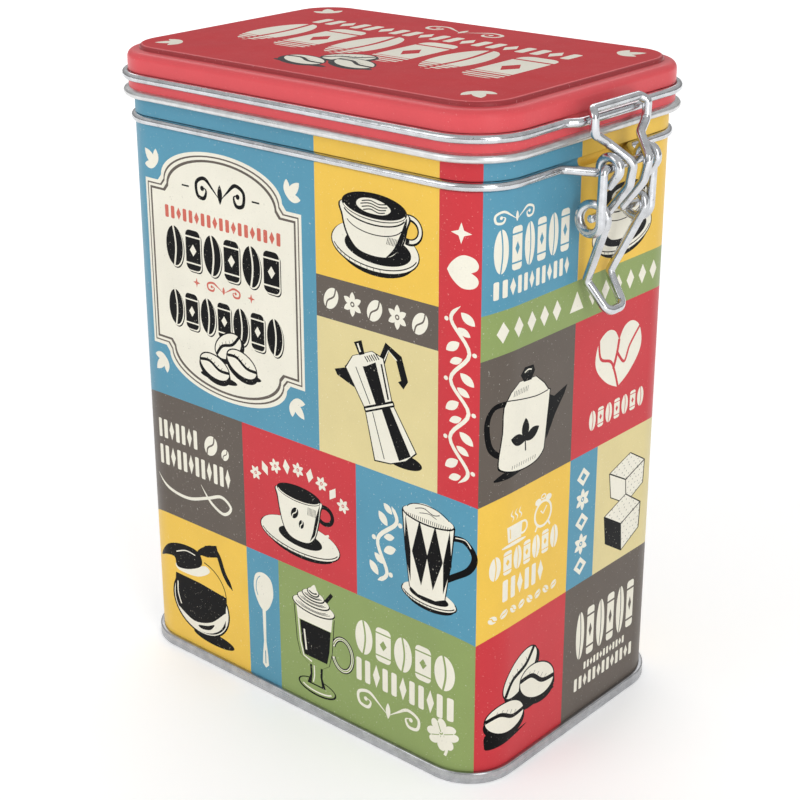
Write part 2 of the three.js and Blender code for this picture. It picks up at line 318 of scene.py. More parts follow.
def corner_sprigs(art, x, y, scale=1):
    """A sprig at each corner of a rectangle, pointing away from the middle."""
    for side_x in (-1, 1):
        for side_y in (-1, 1):
            turn = 0 if side_y > 0 else 180
            leaf_sprig(art.at(side_x * x, side_y * y, scale, turn, side_x * side_y < 0), CREAM)


def heart_outline(half_width, height):
    """A full heart with its point down, centred on its box."""
    right = smooth([(0, 0.27), (0.2, 0.45), (0.53, 0.5), (0.87, 0.37), (1, 0.1), (0.87, -0.12),
                    (0.45, -0.36), (0, -0.5)], closed=False, steps=4)
    whole = right + mirror(right[1:-1])
    return [(x * half_width, y * height) for x, y in whole]


def diamond(art, ink, x, y, half_x, half_y):
    art.fill(ink, [(x - half_x, y), (x, y - half_y), (x + half_x, y), (x, y + half_y)])


def star(art, ink, x, y, outer, inner, points=4):
    corners = []
    for i in range(2 * points):
        reach = outer if i % 2 == 0 else inner
        a = math.pi / 2 + math.pi * i / points
        corners.append((x + reach * math.cos(a), y + reach * math.sin(a)))
    art.fill(ink, corners)


def round_corners(centre_x, centre_y, radius, steps):
    """A rounded rectangle, from the place of its first corner's centre."""
    points = []
    for sign_x, sign_y, start in ((1, 1, 0), (-1, 1, 90), (-1, -1, 180), (1, -1, 270)):
        points += ellipse(sign_x * centre_x, sign_y * centre_y, radius, radius, start, start + 90, steps)
    return points


def barrel_outline(half_x, half_y):
    """An upright block with bowed corners."""
    corner = min(half_x, half_y) * 0.55
    return round_corners(half_x - corner, half_y - corner, corner, 5)


def block_row(art, ink, ground, left, right, bottom, top, count, gap=0.16, shadow=None, hatch=0):
    """Upright beans and banded blocks by turns, as bold as a line of type."""
    pitch = (right - left) / count
    half_x = pitch * (1 - gap) / 2
    half_y = (top - bottom) / 2
    for i in range(count):
        own = art.at(left + pitch * (i + 0.5), bottom + half_y)
        banded = i % 2
        outline = ellipse(0, 0, half_x * 1.06, half_y)
        if banded:
            outline = barrel_outline(half_x * 0.92, half_y)
        if shadow:
            own.at(0.55, -0.55).fill(shadow, outline)
            own.at(0.3, -0.3).fill(ground, outline)
        own.fill(ink, outline)
        if banded:
            diamond(own, ground, 0, 0, half_x * 0.42, half_y * 0.3)
            for low, high in ((-0.7, -0.62), (0.62, 0.7)):
                own.fill(ground, rectangle(-half_x, half_y * low, half_x, half_y * high))
        else:
            bow = ((-0.1, 1), (0.14, 0.3), (0.14, -0.3), (-0.1, -1))
            own.stroke(ground, [(half_x * x, half_y * y) for x, y in bow], half_x * 0.2)
        for k in range(hatch):
            level = -half_y * (0.96 - 0.14 * k)
            thickness = half_y * (0.07 - 0.012 * k)
            own.fill(ground, rectangle(-half_x * 1.1, level, half_x * 1.1, level + thickness))


def tick_row(art, ink, left, right, bottom, top, count):
    """A row of small upright bars, every third one a diamond."""
    pitch = (right - left) / count
    middle = (bottom + top) / 2
    half = (top - bottom) / 2
    for i in range(count):
        x = left + pitch * (i + 0.5)
        if i % 3 == 2:
            diamond(art, ink, x, middle, pitch * 0.4, half)
        else:
            art.at(x, middle).fill(ink, barrel_outline(pitch * 0.3, half))


def bean_row(art, ink, ground, left, right, y, count, size):
    pitch = (right - left) / count
    for i in range(count):
        bean(art, left + pitch * (i + 0.5), y, size, size * 0.72, 35 if i % 2 else -35, ink, ground)


def scroll(art, ink, length, height, width):
    """A symmetrical pen flourish along +x, with a curl at each end and a drop in the middle."""
    h, w = height / 2, length / 2
    curl = ((0, -0.5), (0.3, 0.25), (0.62, 0.9), (0.95, 0.5), (0.92, -0.45), (0.66, -0.6), (0.56, 0),
            (0.72, 0.25))
    for side in (-1, 1):
        art.stroke(ink, [(side * w * x, h * y) for x, y in curl], width, taper=0.25)
        art.oval(ink, side * w * 0.72, h * 0.12, width * 0.7, width * 0.7, steps=14)
    art.at(0, -h * 0.8, turn=90).fill(ink, leaf_outline(1.5 * h, max(width * 1.6, 0.5 * h)))


def rosette(art, ink, ground, x, y, size):
    """A round flower of six petals with an open heart."""
    for k in range(6):
        art.at(x, y, turn=60 * k + 30).fill(ink, leaf_outline(size, size * 0.52))
    art.oval(ground, x, y, size * 0.22, size * 0.22, steps=14)
    art.oval(ink, x, y, size * 0.11, size * 0.11, steps=10)


# Each leaf's shift, rise and lean from a bend, and its length and width, as shares
VINE_LEAVES = ((-0.3, -0.02, -52, 0.56, 0.3), (0.22, 0.08, -62, 0.46, 0.24))


def vine(art, ink, length, height, width):
    """A winding stem with a leaf in each bend, along +x."""
    bends = max(3, round(length / (height * 0.95)))
    pitch = length / bends
    stem = [(-length / 2, 0)]
    for i in range(bends):
        side = 1 if i % 2 else -1
        x = -length / 2 + pitch * (i + 0.5)
        stem.append((x, side * height * 0.3))
        for shift, rise, lean, length_share, width_share in VINE_LEAVES:
            leaf = art.at(x + pitch * shift, side * height * rise, turn=side * lean)
            leaf.fill(ink, leaf_outline(height * length_share, height * width_share))
        art.oval(ink, x, side * height * 0.46, width * 0.62, width * 0.62, steps=12)
    stem.append((length / 2, 0))
    art.stroke(ink, stem, width, taper=0.08)


def clover(art, ink, ground, size):
    for k in range(4):
        own = art.at(0, 0, turn=90 * k + 20)
        own.at(0, size * 0.5).fill(ink, heart_outline(size * 0.48, size * 0.86))
        own.line(ground, [(0, size * 0.15), (0, size * 0.7)], size * 0.05)
    art.stroke(ink, [(0, 0), (size * 0.3, -size * 0.7), (size * 0.2, -size * 1.2)], size * 0.16)


# Cups, pots and glasses -----------------------------------------------------


def hatching(art, ink, left, right, bottom, top, count, lean=0.4, width=0.14):
    for i in range(count):
        x = left + (right - left) * (i + 0.5) / count
        art.line(ink, [(x, bottom), (x + lean, top)], width)


def saucer(art, x, y, half_x, half_y, thickness):
    art.oval(BLACK, x + 0.3, y - thickness - 0.35, half_x * 0.9, half_y)
    art.oval(BLACK, x, y - thickness * 0.5, half_x + 0.3, half_y + 0.3)
    art.oval(CREAM, x, y - thickness * 0.45, half_x, half_y)
    art.arc(BLACK, x, y, half_x * 0.99, half_y * 0.97, 196, 344, 0.25)
    art.oval(CREAM, x, y + 0.1, half_x * 0.97, half_y * 0.9)
    for k in range(9):
        a = math.radians(205 + 9 * k)
        foot = (x + half_x * 0.97 * math.cos(a), y - 0.2 + half_y * 0.93 * math.sin(a))
        art.line(BLACK, [foot, (foot[0] + 0.2, foot[1] - thickness * 0.6)], 0.12)


def wide_cup(art):
    """A wide cappuccino cup on its saucer, 25 mm across, from the middle of its rim."""
    saucer(art, 0.1, -8, 12, 5.2, 1.2)
    art.oval(BLACK, 0.9, -8.6, 9.2, 3.5)
    art.line(CREAM, [(8.6, -6.2), (10.2, -5.2)], 0.5)
    art.ring(BLACK, 9.6, -3, 2.9, 2.6, 1.5, -110, 140)
    art.ring(CREAM, 9.6, -2.9, 2.9, 2.6, 0.7, -90, 120)
    left = [(-8.9, 0.2), (-8.7, -3), (-7.8, -6), (-6.2, -8.4), (-4, -9.9)]
    art.outlined(smooth(left + [(0, -10.4)] + mirror(left) + [(0, 1.6)], steps=5), 1.05, 1.03, -0.1)
    art.blob(BLACK, [(8.9, -0.6), (8.5, -4), (6.6, -8), (3.2, -10.2), (5.4, -7.8), (7.3, -4.2)])
    hatching(art, BLACK, 3.2, 6.8, -7.2, -5.6, 9, 0.5)
    art.arc(BLACK, 0, -0.6, 8.6, 3.1, 195, 345, 0.32)
    art.arc(BLACK, 0, -2.6, 8, 3.2, 200, 340, 0.22)
    art.oval(BLACK, 0, 0.1, 9, 3)
    art.arc(CREAM, 0, 0.2, 8.7, 2.7, 195, 345, 0.35)
    art.blob(CREAM, [(-4.8, 0.6), (-3.2, 1.6), (0.2, 1.9), (3.4, 1.2), (4.6, 0), (2.4, -1.2), (-1.8, -1.3),
                     (-4.4, -0.5)])
    for k in range(4):
        y = 1.15 - 0.62 * k
        reach = 3.7 - 0.35 * abs(k - 1)
        art.stroke(BLACK, [(-reach, y - 0.2), (-reach * 0.3, y + 0.25), (reach * 0.4, y - 0.2),
                           (reach, y + 0.1)], 0.24)


def espresso_cup(art):
    """A small straight cup on a broad saucer, from the middle of its rim."""
    saucer(art, 0, -10.8, 12.6, 4.3, 1)
    art.oval(BLACK, 0.2, -11.2, 7, 2.3)
    art.line(CREAM, [(5.4, -9.6), (9.4, -7.6)], 0.6)
    art.ring(BLACK, 8.2, -2.9, 2.4, 2.1, 1.1, -140, 150)
    left = [(-6.9, 0.2), (-6.7, -2.4), (-6, -6.2), (-4.9, -9.6), (-3, -11.5)]
    art.outlined(smooth(left + [(0, -12)] + mirror(left) + [(0, 1)], steps=4), 1.05, rise=-0.15)
    art.fill(BLACK, [(6.8, -0.4), (6.2, -4.6), (5, -9), (3.3, -11.1), (4.3, -8.6), (5.3, -4.4)])
    hatching(art, BLACK, 2.6, 5.4, -4.4, -2.4, 7, 0.2)
    art.oval(BLACK, 0, 0, 7, 2.1)
    art.arc(CREAM, 0, 0.05, 6.7, 1.8, 190, 350, 0.28)
    bean(art, -1.4, -5.2, 3.2, 2.1, 60, BLACK, CREAM)
    bean(art, 0.7, -7.5, 2.3, 1.6, 75, BLACK, CREAM)


def tall_cup(art):
    """A tall latte cup with a foam top and a lozenge pattern, from the middle of its rim."""
    saucer(art, 0.2, -18.8, 7.3, 2.5, 0.9)
    art.oval(BLACK, 0.4, -18.9, 5.4, 1.6)
    art.stroke(BLACK, [(5.8, -2.8), (9.2, -2.2), (11.4, -4.9), (10.2, -8.6), (6.8, -11.8), (4.6, -13.6)],
               1.35)
    art.stroke(CREAM, [(7.2, -2.2), (9.4, -1.9), (10.6, -3.2)], 0.25)
    side = [(-6.9, 0), (-6.1, -9), (-4.9, -18.2), (-2.6, -19.4), (2.4, -19.4), (4.8, -18.2), (6.1, -9),
            (6.9, 0)]
    art.outlined(side, 1.045, rise=-0.1)
    middle = -9.4
    for x, half in ((-5.9, 1.2), (-2.1, 2.2), (2.1, 2.2), (5.7, 1.3)):
        shift = 0.92 if x < 0 else 0.9
        art.fill(BLACK, [(x - half if x > -5 else x - 0.5, middle), (x * shift * 0.86, -17),
                         (x + half if x < 5 else x + 0.75, middle), (x * 1.04, -1.2)])
    art.oval(BLACK, 0, 0, 7.1, 2)
    art.oval(CREAM, 0, 0.15, 6.8, 1.75)
    art.blob(CREAM, [(-6, 0.4), (-4.4, 1.9), (-1.2, 3), (2, 2.7), (4.8, 1.5), (6.2, 0.3), (0, -1.2)], 5)
    art.arc(BLACK, 0, 0.4, 5.9, 2.4, 15, 165, 0.2)
    hatching(art, BLACK, -6.2, 6.2, -1.4, -0.4, 22, 0.15)
    art.stroke(BLACK, [(-3.4, 1.2), (-1, 1.9), (1.6, 1.1), (3.4, 1.6)], 0.2)
    art.stroke(BLACK, [(-2.2, 0.5), (0.4, 1), (2.6, 0.4)], 0.16)


def moka_pot(art):
    """A stove-top coffee pot, leaning back, from the middle of its waist."""
    art.oval(BLACK, 7, -11.6, 6, 1.9)
    own = art.at(0, 0, turn=23)
    own.line(BLACK, [(4.4, 9.2), (8.4, 13.2), (10.8, 10), (10.4, 4.6), (8.8, 3.8)], 2.1)
    own.line(CREAM, [(5.4, 9.6), (8.4, 12.3), (10, 9.6)], 0.3)
    own.fill(BLACK, [(-6.1, 10.6), (-10.4, 10.9), (-10.2, 9.4), (-5.9, 5.6)])
    upper = [(-6.5, 10.8), (-4.6, 0.6), (4.4, 0.6), (5.9, 10.8), (0, 12.6)]
    lower = [(-4.7, -0.7), (-6.6, -12.2), (-2, -13.6), (3, -13.6), (6.8, -12.2), (4.5, -0.7)]
    own.outlined(upper, 1.06, 1.02)
    own.outlined(lower, 1.06, 1.02)
    own.fill(BLACK, [(-1.2, 11.6), (-0.8, 0.6), (2.4, 0.6), (3.4, 11.4)])
    own.fill(BLACK, [(0.6, -0.7), (0.9, -13.4), (5, -12.8), (3.4, -0.7)])
    own.line(BLACK, [(-3.4, 10.6), (-2.6, 1)], 0.25)
    own.line(BLACK, [(-2.6, -1), (-3.6, -12.4)], 0.25)
    own.line(BLACK, [(4.9, 9.6), (3.6, 1.2)], 0.5)
    own.fill(BLACK, barrel_outline(5, 0.75))
    own.fill(CREAM, rectangle(-4.6, -0.28, 4.6, 0.22))
    own.outlined([(-6.6, 10.6), (-3.2, 12.9), (3.2, 12.9), (6, 10.6), (0, 9.9)], 1.05, rise=0.15)
    hatching(own, BLACK, 0.6, 5, 10.7, 12.2, 6, -0.5, 0.3)
    own.fill(BLACK, [(-1.1, 12.7), (-1.5, 16), (1.1, 16), (0.7, 12.7)])
    own.fill(CREAM, rectangle(-0.7, 13.4, -0.2, 15.5))


def glass_carafe(art):
    """A round glass coffee pot with a hinged black top, from the middle of its bowl."""
    art.oval(BLACK, 4.2, -8.6, 7.4, 1.7)
    art.oval(BLACK, 0, 0, 10.4, 8.9)
    art.oval(CREAM, 0, 0, 9.9, 8.4)
    art.oval(YELLOW, 0.2, 5.6, 8, 6.4)
    art.arc(BLACK, 0.2, 4.4, 9.2, 8, -25, 80, 0.28)
    coffee = ellipse(0, 0, 9.6, 8.1, 172, 335, 30)
    art.fill(BLACK, coffee + [(9.3, 5), (0, 5.9), (-9, 6)])
    art.blob(CREAM, [(-8.8, -3.6), (-3, -5.9), (3.6, -4), (9.2, 0.6), (7, -4.8), (1.4, -7.9), (-5, -7.2)],
             5)
    art.blob(BLACK, [(-1.4, -6.6), (2, -5.6), (4.6, -4.4), (3, -6.4), (0, -7.2)])
    art.stroke(CREAM, [(-8.4, 3.6), (-8.5, 0.4), (-7.5, -2.6)], 0.4)
    art.blob(CREAM, [(-8.6, 8.8), (-2.6, 9.4), (2.2, 11.4), (3.6, 10), (-1, 7.4), (-7.6, 7)])
    art.blob(BLACK, [(-15.4, 9.2), (-11.4, 13.2), (-5.8, 14.9), (-0.2, 14.5), (0.9, 11.2), (-3.6, 8.6),
                     (-8.2, 7.8), (-9.2, 10.2), (-12.2, 10)], 5)
    art.stroke(CREAM, [(-8.4, 12), (-4.8, 13.4), (-1.4, 13.2)], 0.3)
    art.stroke(BLACK, [(-0.8, 13.4), (1.6, 15.6), (5, 17.3), (7.2, 15.8), (9, 11.6), (11.8, 8)], 1.5,
               taper=0.1)
    art.fill(BLACK, [(0.2, 14), (2.4, 17.2), (6.6, 18.6), (7.4, 15.6), (3.2, 14.2)])


def spoon(art):
    """An upright spoon, from the middle of its bowl."""
    bowl = [(-2.6, 3.6), (-3.3, 0), (-2.2, -3.4), (-0.6, -5.4)]
    handle = [(-0.55, -5.2), (-0.42, -14), (-0.85, -17.5), (-1.05, -20.4)]
    art.blob(CREAM, [(0, 4.8)] + bowl + mirror(bowl), 5)
    art.fill(CREAM, handle + [(0, -21.4)] + mirror(handle))
    art.line(BLUE, [(0, -16.6), (0, -20.2)], 0.3)
    art.arc(BLUE, -0.2, 0.3, 2.3, 3.5, 110, 220, 0.22, 12)


def cream_glass(art):
    """A footed glass of coffee under piled cream, from the middle of its rim."""
    art.ring(BLACK, 9, -8.4, 3.1, 4.2, 1.3, -160, 160)
    art.ring(CREAM, 9, -8.4, 3.1, 4.2, 0.7, -160, 160)
    art.ring(GREEN, 9, -8.4, 3.1, 4.2, 0.3, -155, 155)
    art.oval(BLACK, 0.6, -20.6, 6.2, 2.3)
    art.oval(GREEN, 0.6, -20.5, 5.7, 1.9)
    art.arc(CREAM, 0.6, -20.4, 4.9, 1.4, 200, 340, 0.4)
    art.fill(BLACK, [(-1.7, -14.2), (-1.5, -17.4), (-2.6, -20.2), (3.4, -20.2), (2.4, -17.4), (2.6, -14.2)])
    art.fill(GREEN, [(-1, -14.2), (-0.9, -17.2), (-1.2, -19.8), (2.2, -19.8), (1.7, -17.2), (1.9, -14.2)])
    art.line(CREAM, [(-0.3, -14.4), (-0.2, -17.4), (-0.6, -19.4)], 0.35)
    side = [(-6.3, 0), (-5.6, -9.4), (-4.6, -13.2), (-2, -14.8), (2.4, -14.8), (4.6, -13.2), (5.6, -9.4),
            (6.4, 0)]
    art.outlined(side, 1.04, ink=GREEN)
    art.fill(BLACK, [(-4.6, -3.8), (-4.1, -9.4), (-3.4, -12.8), (4, -12.8), (4.8, -9.4), (5.3, -3.8)])
    art.line(CREAM, [(-5.1, -3.8), (-4.6, -9.6), (-3.6, -13.2), (-1, -14)], 0.4)
    art.line(CREAM, [(-3.3, -6), (-2.7, -11.4)], 0.5)
    art.fill(CREAM, [(-5.8, 0.4), (-5.3, -3.7), (5.5, -3.7), (6, 0.4)])
    art.line(BLACK, [(3.6, 3.4), (5.9, 6.4)], 1)
    for y, reach, tall in ((1, 6.6, 2), (2.6, 5, 1.6), (3.9, 3.4, 1.3), (4.9, 1.7, 1)):
        art.oval(BLACK, -0.1, y, reach + 0.3, tall + 0.2)
        art.oval(CREAM, -0.1, y + 0.15, reach, tall)
        for k in range(3):
            inner = reach * (0.92 - 0.12 * k)
            art.line(BLACK, ellipse(-0.1, y + 0.5, inner, tall * (0.9 - 0.1 * k), 200, 330), 0.13)
    art.blob(CREAM, [(-1.2, 5.2), (-0.3, 6.6), (0.5, 6.9), (1, 5.2)])


def enamel_pot(art):
    """An enamel coffee pot with a leaf badge, from the middle of its body."""
    art.blob(BLACK, [(-9.6, -9.6), (-3, -8), (3.6, -8.6), (-0.4, -9.9), (-6, -10.6)])
    art.stroke(BLACK, [(-5.8, 6.6), (-9.6, 6.9), (-11.2, 4), (-10.6, -1.4), (-8.6, -4.2), (-7.4, -4.2)],
               1.2)
    art.fill(BLACK, [(6, 5.4), (9.6, 3.5), (14.4, 4.8), (13.4, 2.9), (10.2, -0.8), (7.2, -5.8)])
    art.outlined(smooth([(-6.6, 7.2), (-7.5, 0.2), (-8.4, -6), (-7.6, -7.9), (-4.6, -9.3), (-0.6, -9.9),
                         (3.6, -9.5), (6, -8), (6.5, -6.2), (7.2, -0.6), (7.8, 4.6), (7.2, 5.7),
                         (0.4, 6.4)], steps=4), 1.04, 1.03)
    art.outlined([(-6.6, 7.2), (-5.4, 8.8), (-2.8, 10.4), (2.8, 10), (5.8, 7.6), (7.4, 5.6), (4, 5.2),
                  (-2, 6.2)], 1.04, rise=0.15)
    art.stroke(BLACK, [(-6.6, 7.3), (-2, 6.3), (3.4, 5.5), (7.3, 5.6)], 0.25)
    hatching(art, BLACK, -5, 0.2, 7.6, 8.8, 9, 0.3)
    art.fill(BLACK, [(-1.4, 10), (-2.6, 11.8), (-1.2, 13.2), (1.8, 13), (2.4, 11.6), (1.2, 9.8)])
    art.stroke(CREAM, [(-1.2, 12), (0, 12.4), (1.2, 12.1)], 0.3)
    for turn in (20, 90, 160):
        art.at(-0.4, -3.6, turn=turn).fill(BLACK, leaf_outline(5.2, 2.6))
    art.line(BLACK, [(-0.4, -3.4), (-0.2, -6)], 0.4)
    hatching(art, BLACK, -5.2, 3.6, -8.9, -8.1, 11, 0.2)


def alarm_clock(art, ink):
    art.ring(ink, 0, 0, 3, 3, 0.6)
    art.line(ink, [(-0.9, 0.9), (0, 0), (1.3, 1.5)], 0.4)
    for side in (-1, 1):
        art.oval(ink, side * 1.9, 3.3, 1.1, 0.8, steps=16)
        art.line(ink, [(side * 2, -2.5), (side * 2.7, -3.6)], 0.5)
    art.ring(ink, 0, 4.1, 0.8, 0.5, 0.3)


def little_mug(art, ink, ground):
    """A steaming mug in one ink."""
    art.ring(ink, 2.9, 0.1, 1.4, 1.4, 0.5)
    art.fill(ink, [(-2.6, 1.8), (-2.2, -2), (2.2, -2), (2.6, 1.8)])
    art.line(ground, [(-1.7, 1.1), (-1.5, -1.2)], 0.25)
    art.oval(ink, 0, -2.7, 4, 0.45)
    for x in (-1.1, 0.3, 1.7):
        art.stroke(ink, [(x, 2.6), (x + 0.5, 3.5), (x - 0.3, 4.4), (x + 0.3, 5.4)], 0.35, taper=0.3)


def sugar_cube(art, width, height, shaded):
    """A cube seen from above one edge, from its nearest corner."""
    top = [(0, 0), (width * 0.52, height * 0.2), (width * 0.1, height * 0.5), (-width * 0.46, height * 0.3)]
    left = [(0, 0), (-width * 0.46, height * 0.3), (-width * 0.4, -height * 0.2),
            (0.04 * width, -height * 0.5)]
    right = [(0, 0), (0.04 * width, -height * 0.5), (width * 0.5, -height * 0.26),
             (width * 0.52, height * 0.2)]
    outline = [top[3], left[2], left[3], right[2], top[1], top[2]]
    art.fill(BLACK, [(x * 1.05, y * 1.04) for x, y in outline])
    art.fill(CREAM, top)
    art.fill(BLACK if shaded else CREAM, left)
    art.fill(CREAM, right)
    for start, end in ((top[0], top[1]), (top[0], top[3]), (left[0], left[3])):
        art.line(BLACK, [start, end], 0.32)
    rows = 5
    for face in (top, right):
        (ax, ay), (bx, by), (cx, cy), (dx, dy) = face
        for i in range(rows):
            for j in range(rows):
                s = (i + 0.55 + 0.3 * ((j * 7) % 3 - 1)) / rows
                t = (j + 0.5 + 0.25 * ((i * 5) % 3 - 1)) / rows
                x = (ax * (1 - s) + bx * s) * (1 - t) + (dx * (1 - s) + cx * s) * t
                y = (ay * (1 - s) + by * s) * (1 - t) + (dy * (1 - s) + cy * s) * t
                art.line(BLACK, [(x, y), (x + 0.3, y + 0.22)], 0.14)


# The faces ------------------------------------------------------------------


def label_outline(inset):
    """The outline of the cream label, drawn in by inset."""
    half, side, step, top = 25.3 - inset, 20.5 - inset, 19.6 - inset, 29.8 - inset
    spring = side + 1.4
    arch = [math.radians(6 * k) for k in range(16)]
    quarter = [(half, 0), (half, side), (step + 1.2, side)]
    quarter += [(step * math.cos(a), spring + (top - spring) * math.sin(a)) for a in arch]
    upper = (quarter + mirror(quarter[:-1]))[:-1]
    return upper + [(-x, -y) for x, y in upper]


def cream_label(art):
    """The framed label on the blue panel, with rows of ornament in place of words."""
    for inset, ink in ((0, CREAM), (0.8, TAUPE), (1.15, CREAM), (1.75, TAUPE), (2.3, CREAM)):
        art.fill(ink, label_outline(inset))
    corner_sprigs(art, 22.8, 25.4)
    scroll(art.at(0, 20.6), BLACK, 16, 6.2, 0.9)
    for x in (-11.4, 11.4):
        art.fill(BLACK, rectangle(x - 1.2, 20.5, x + 1.2, 20.9))
    tick_row(art, CORAL, -19.2, 19.2, 12, 15, 19)
    block_row(art, BLACK, CREAM, -19.3, 18.9, 0.6, 10.3, 6, shadow=BLACK)
    scroll(art.at(0, -2.3), CORAL, 11, 2.6, 0.5)
    for x in (-9, 9):
        star(art, CORAL, x, -2.2, 1.2, 0.4)
    block_row(art, BLACK, CREAM, -19.3, 18.9, -14.2, -5.4, 7, shadow=BLACK)
    bean_pile(art.at(0.4, -18.6))


def panels(art, bottom, top, left, *row):
    """Panels side by side from the left, each an ink and the panel's right edge."""
    for ink, right in row:
        art.fill(ink, rectangle(left, bottom, right, top))
        left = right


def wide_panels(art):
    edge = WIDE_HALF
    spoon_left, spoon_right, label_right, cup_left, strip_left = WIDE_COLUMNS
    bottom, low, high, top = ROWS
    band_low, band_high = BAND
    panels(art, high, top, -edge, (BLUE, label_right))
    panels(art, band_high, top, label_right, (YELLOW, strip_left))
    panels(art, band_low, band_high, label_right, (TAUPE, strip_left))
    panels(art, high, band_low, label_right, (BEIGE, strip_left))
    panels(art, high, top, strip_left, (RED, edge))
    panels(art, low, high, -edge, (TAUPE, spoon_left), (RED, cup_left), (BLUE, edge))
    panels(art, bottom, low, -edge, (YELLOW, spoon_left), (BLUE, spoon_right), (GREEN, edge))


def wide_upper_row(art):
    """The label, a cup, a band of beans and flowers, a pot and the red strip."""
    cream_label(art.at(-20.3, 104))
    wide_cup(art.at(25.9, 129.9))
    for i, x in enumerate((13.4, 19.6, 25.9, 32.2, 38.4)):
        if i % 2:
            rosette(art, CREAM, TAUPE, x, BAND_MIDDLE, 2.8)
        else:
            bean(art, x, BAND_MIDDLE, 5.4, 3.8, 58, CREAM, TAUPE)
    moka_pot(art.at(27, 85.8, scale=0.93))

    strip = art.at(48.3, 0)
    star(strip, CREAM, 0, 128.7, 2.2, 0.8)
    strip.at(0.3, 120.8, turn=-90).fill(CREAM, heart_outline(3.5, 6.6))
    vine(strip.at(0, 94, turn=-90), CREAM, 39, 6.6, 0.8)


def wide_middle_row(art):
    """Rows of ornament, a small cup under an arch of flowers and a tall cup."""
    own = art.at(-33, 0)
    tick_row(own, CREAM, -13.2, 1.6, 58.4, 63.4, 7)
    bean(own, 6, 60.9, 5.6, 4.2, 62, CREAM, TAUPE)
    bean(own, 10.9, 59.9, 3.2, 2.4, 62, CREAM, TAUPE)
    tick_row(own, CREAM, -13.2, 12.6, 51.2, 56.4, 12)
    own.stroke(CREAM, [(-14.4, 48.4), (-10, 45), (-3, 44.2), (4, 46.4), (9, 48.2), (12.2, 46.2),
                       (9.6, 43.8), (5.2, 45.6), (1.8, 49.4)], 0.8, taper=0.12)

    own = art.at(2.1, 57.2)
    for i in range(9):
        turn = 38 - 9.5 * i
        motif = own.at(0, -16.4, turn=turn).at(0, 24 * 0.94)
        if i % 2:
            diamond(motif, CREAM, 0, 0, 1.1, 1.9)
        else:
            rosette(motif, CREAM, RED, 0, 0, 1.9)
    espresso_cup(own)

    tall_cup(art.at(40.6, 63.7))
    vine(art.at(28.4, 53.4, turn=78), CREAM, 20, 7, 1)


def wide_lower_row(art):
    """A glass pot, a spoon, a glass and rows of ornament."""
    glass_carafe(art.at(-33.2, 15.6))
    spoon(art.at(-10.5, 27.6))
    cream_glass(art.at(6.2, 28.2))

    own = art.at(33.8, 0)
    block_row(own, CREAM, GREEN, -14.8, 14.6, 22.8, 31.6, 5)
    tick_row(own, CREAM, -14.8, 14.6, 15.4, 21.4, 11)
    scroll(own.at(-4.6, 10.8), CREAM, 19, 5.6, 0.8)
    clover(own.at(11.2, 11.2), CREAM, GREEN, 4.3)


def wide_print():
    """The artwork of a wide face, from the middle of the face at floor level."""
    art = Artwork()
    for draw in (wide_panels, wide_upper_row, wide_middle_row, wide_lower_row):
        draw(art)
    return art.shapes


def narrow_panels(art):
    edge = NARROW_HALF
    middle, cube_left = NARROW_COLUMNS
    bottom, low, high, top = ROWS
    band_low, band_high = BAND
    panels(art, band_high, top, -edge, (BLUE, middle), (YELLOW, edge))
    panels(art, band_low, band_high, -edge, (GREEN, edge))
    panels(art, high, band_low, -edge, (TAUPE, middle), (RED, edge))
    panels(art, low, high, -edge, (YELLOW, middle), (BLUE, cube_left), (BEIGE, edge))
    panels(art, bottom, low, -edge, (RED, middle), (TAUPE, edge))


def narrow_upper_rows(art):
    """Ornament, a cup, the green band, a pot and a heart."""
    own = art.at(-19.8, 0)
    scroll(own.at(-6.4, 131.4), CREAM, 11, 3, 0.5)
    block_row(own, CREAM, BLUE, -12.2, 12.2, 120, 129.2, 6, gap=0.22)
    tick_row(own, CREAM, -12.2, 12.2, 114.8, 118.6, 12)

    wide_cup(art.at(11.8, 127.6, scale=0.94))

    for x in (-29.2, -24.8, -20.4, -16, -11.6, 1.6, 6.4, 11.2, 16, 20.8, 25.2):
        diamond(art, CREAM, x, BAND_MIDDLE, 1.5, 2.3)
    art.fill(CREAM, [(-6.9, BAND_MIDDLE - 2), (-1.9, BAND_MIDDLE - 2), (-4.4, BAND_MIDDLE + 2.4)])

    enamel_pot(art.at(-21.2, 84.6))

    own = art.at(12.7, 90)
    own.fill(CREAM, heart_outline(9.1, 14.6))
    own.stroke(RED, [(-8, 6), (-7, 1.4), (-3, -0.4), (-1.2, -3.4), (0.4, -7.6)], 0.7)
    own.stroke(RED, [(0, 4.2), (-0.6, 1.2), (-1.9, -2.4)], 0.9)
    own.stroke(RED, [(-0.6, 1.2), (2.4, -1.8), (4.4, 1.6), (8.4, 5.4)], 0.7)
    block_row(art, CREAM, RED, 1.8, 24.2, 75, 79.8, 7, gap=0.24)


def narrow_middle_row(art):
    """A mug and a clock over ornament, a blue strip and two sugar cubes."""
    own = art.at(-20, 0)
    little_mug(own.at(-4.4, 60.6), CREAM, YELLOW)
    alarm_clock(own.at(5.7, 61.2), CREAM)
    block_row(own, CREAM, YELLOW, -11.6, 11.8, 51.2, 56.8, 7, gap=0.2)
    tick_row(own, CREAM, -8.4, 6.6, 44.8, 50, 6)
    bean_row(own, CREAM, YELLOW, -11.8, 12, 41.8, 8, 2.4)

    for i in range(5):
        y = 64.6 - 5.6 * i
        if i % 2:
            rosette(art, CREAM, BLUE, 0.8, y, 2.7)
        else:
            diamond(art, CREAM, 0.8, y, 2.5, 2.3)
            diamond(art, BLUE, 0.8, y, 1.1, 1)

    sugar_cube(art.at(18.2, 57.8), 14.6, 12.4, False)
    sugar_cube(art.at(17, 46.8), 15, 14, True)


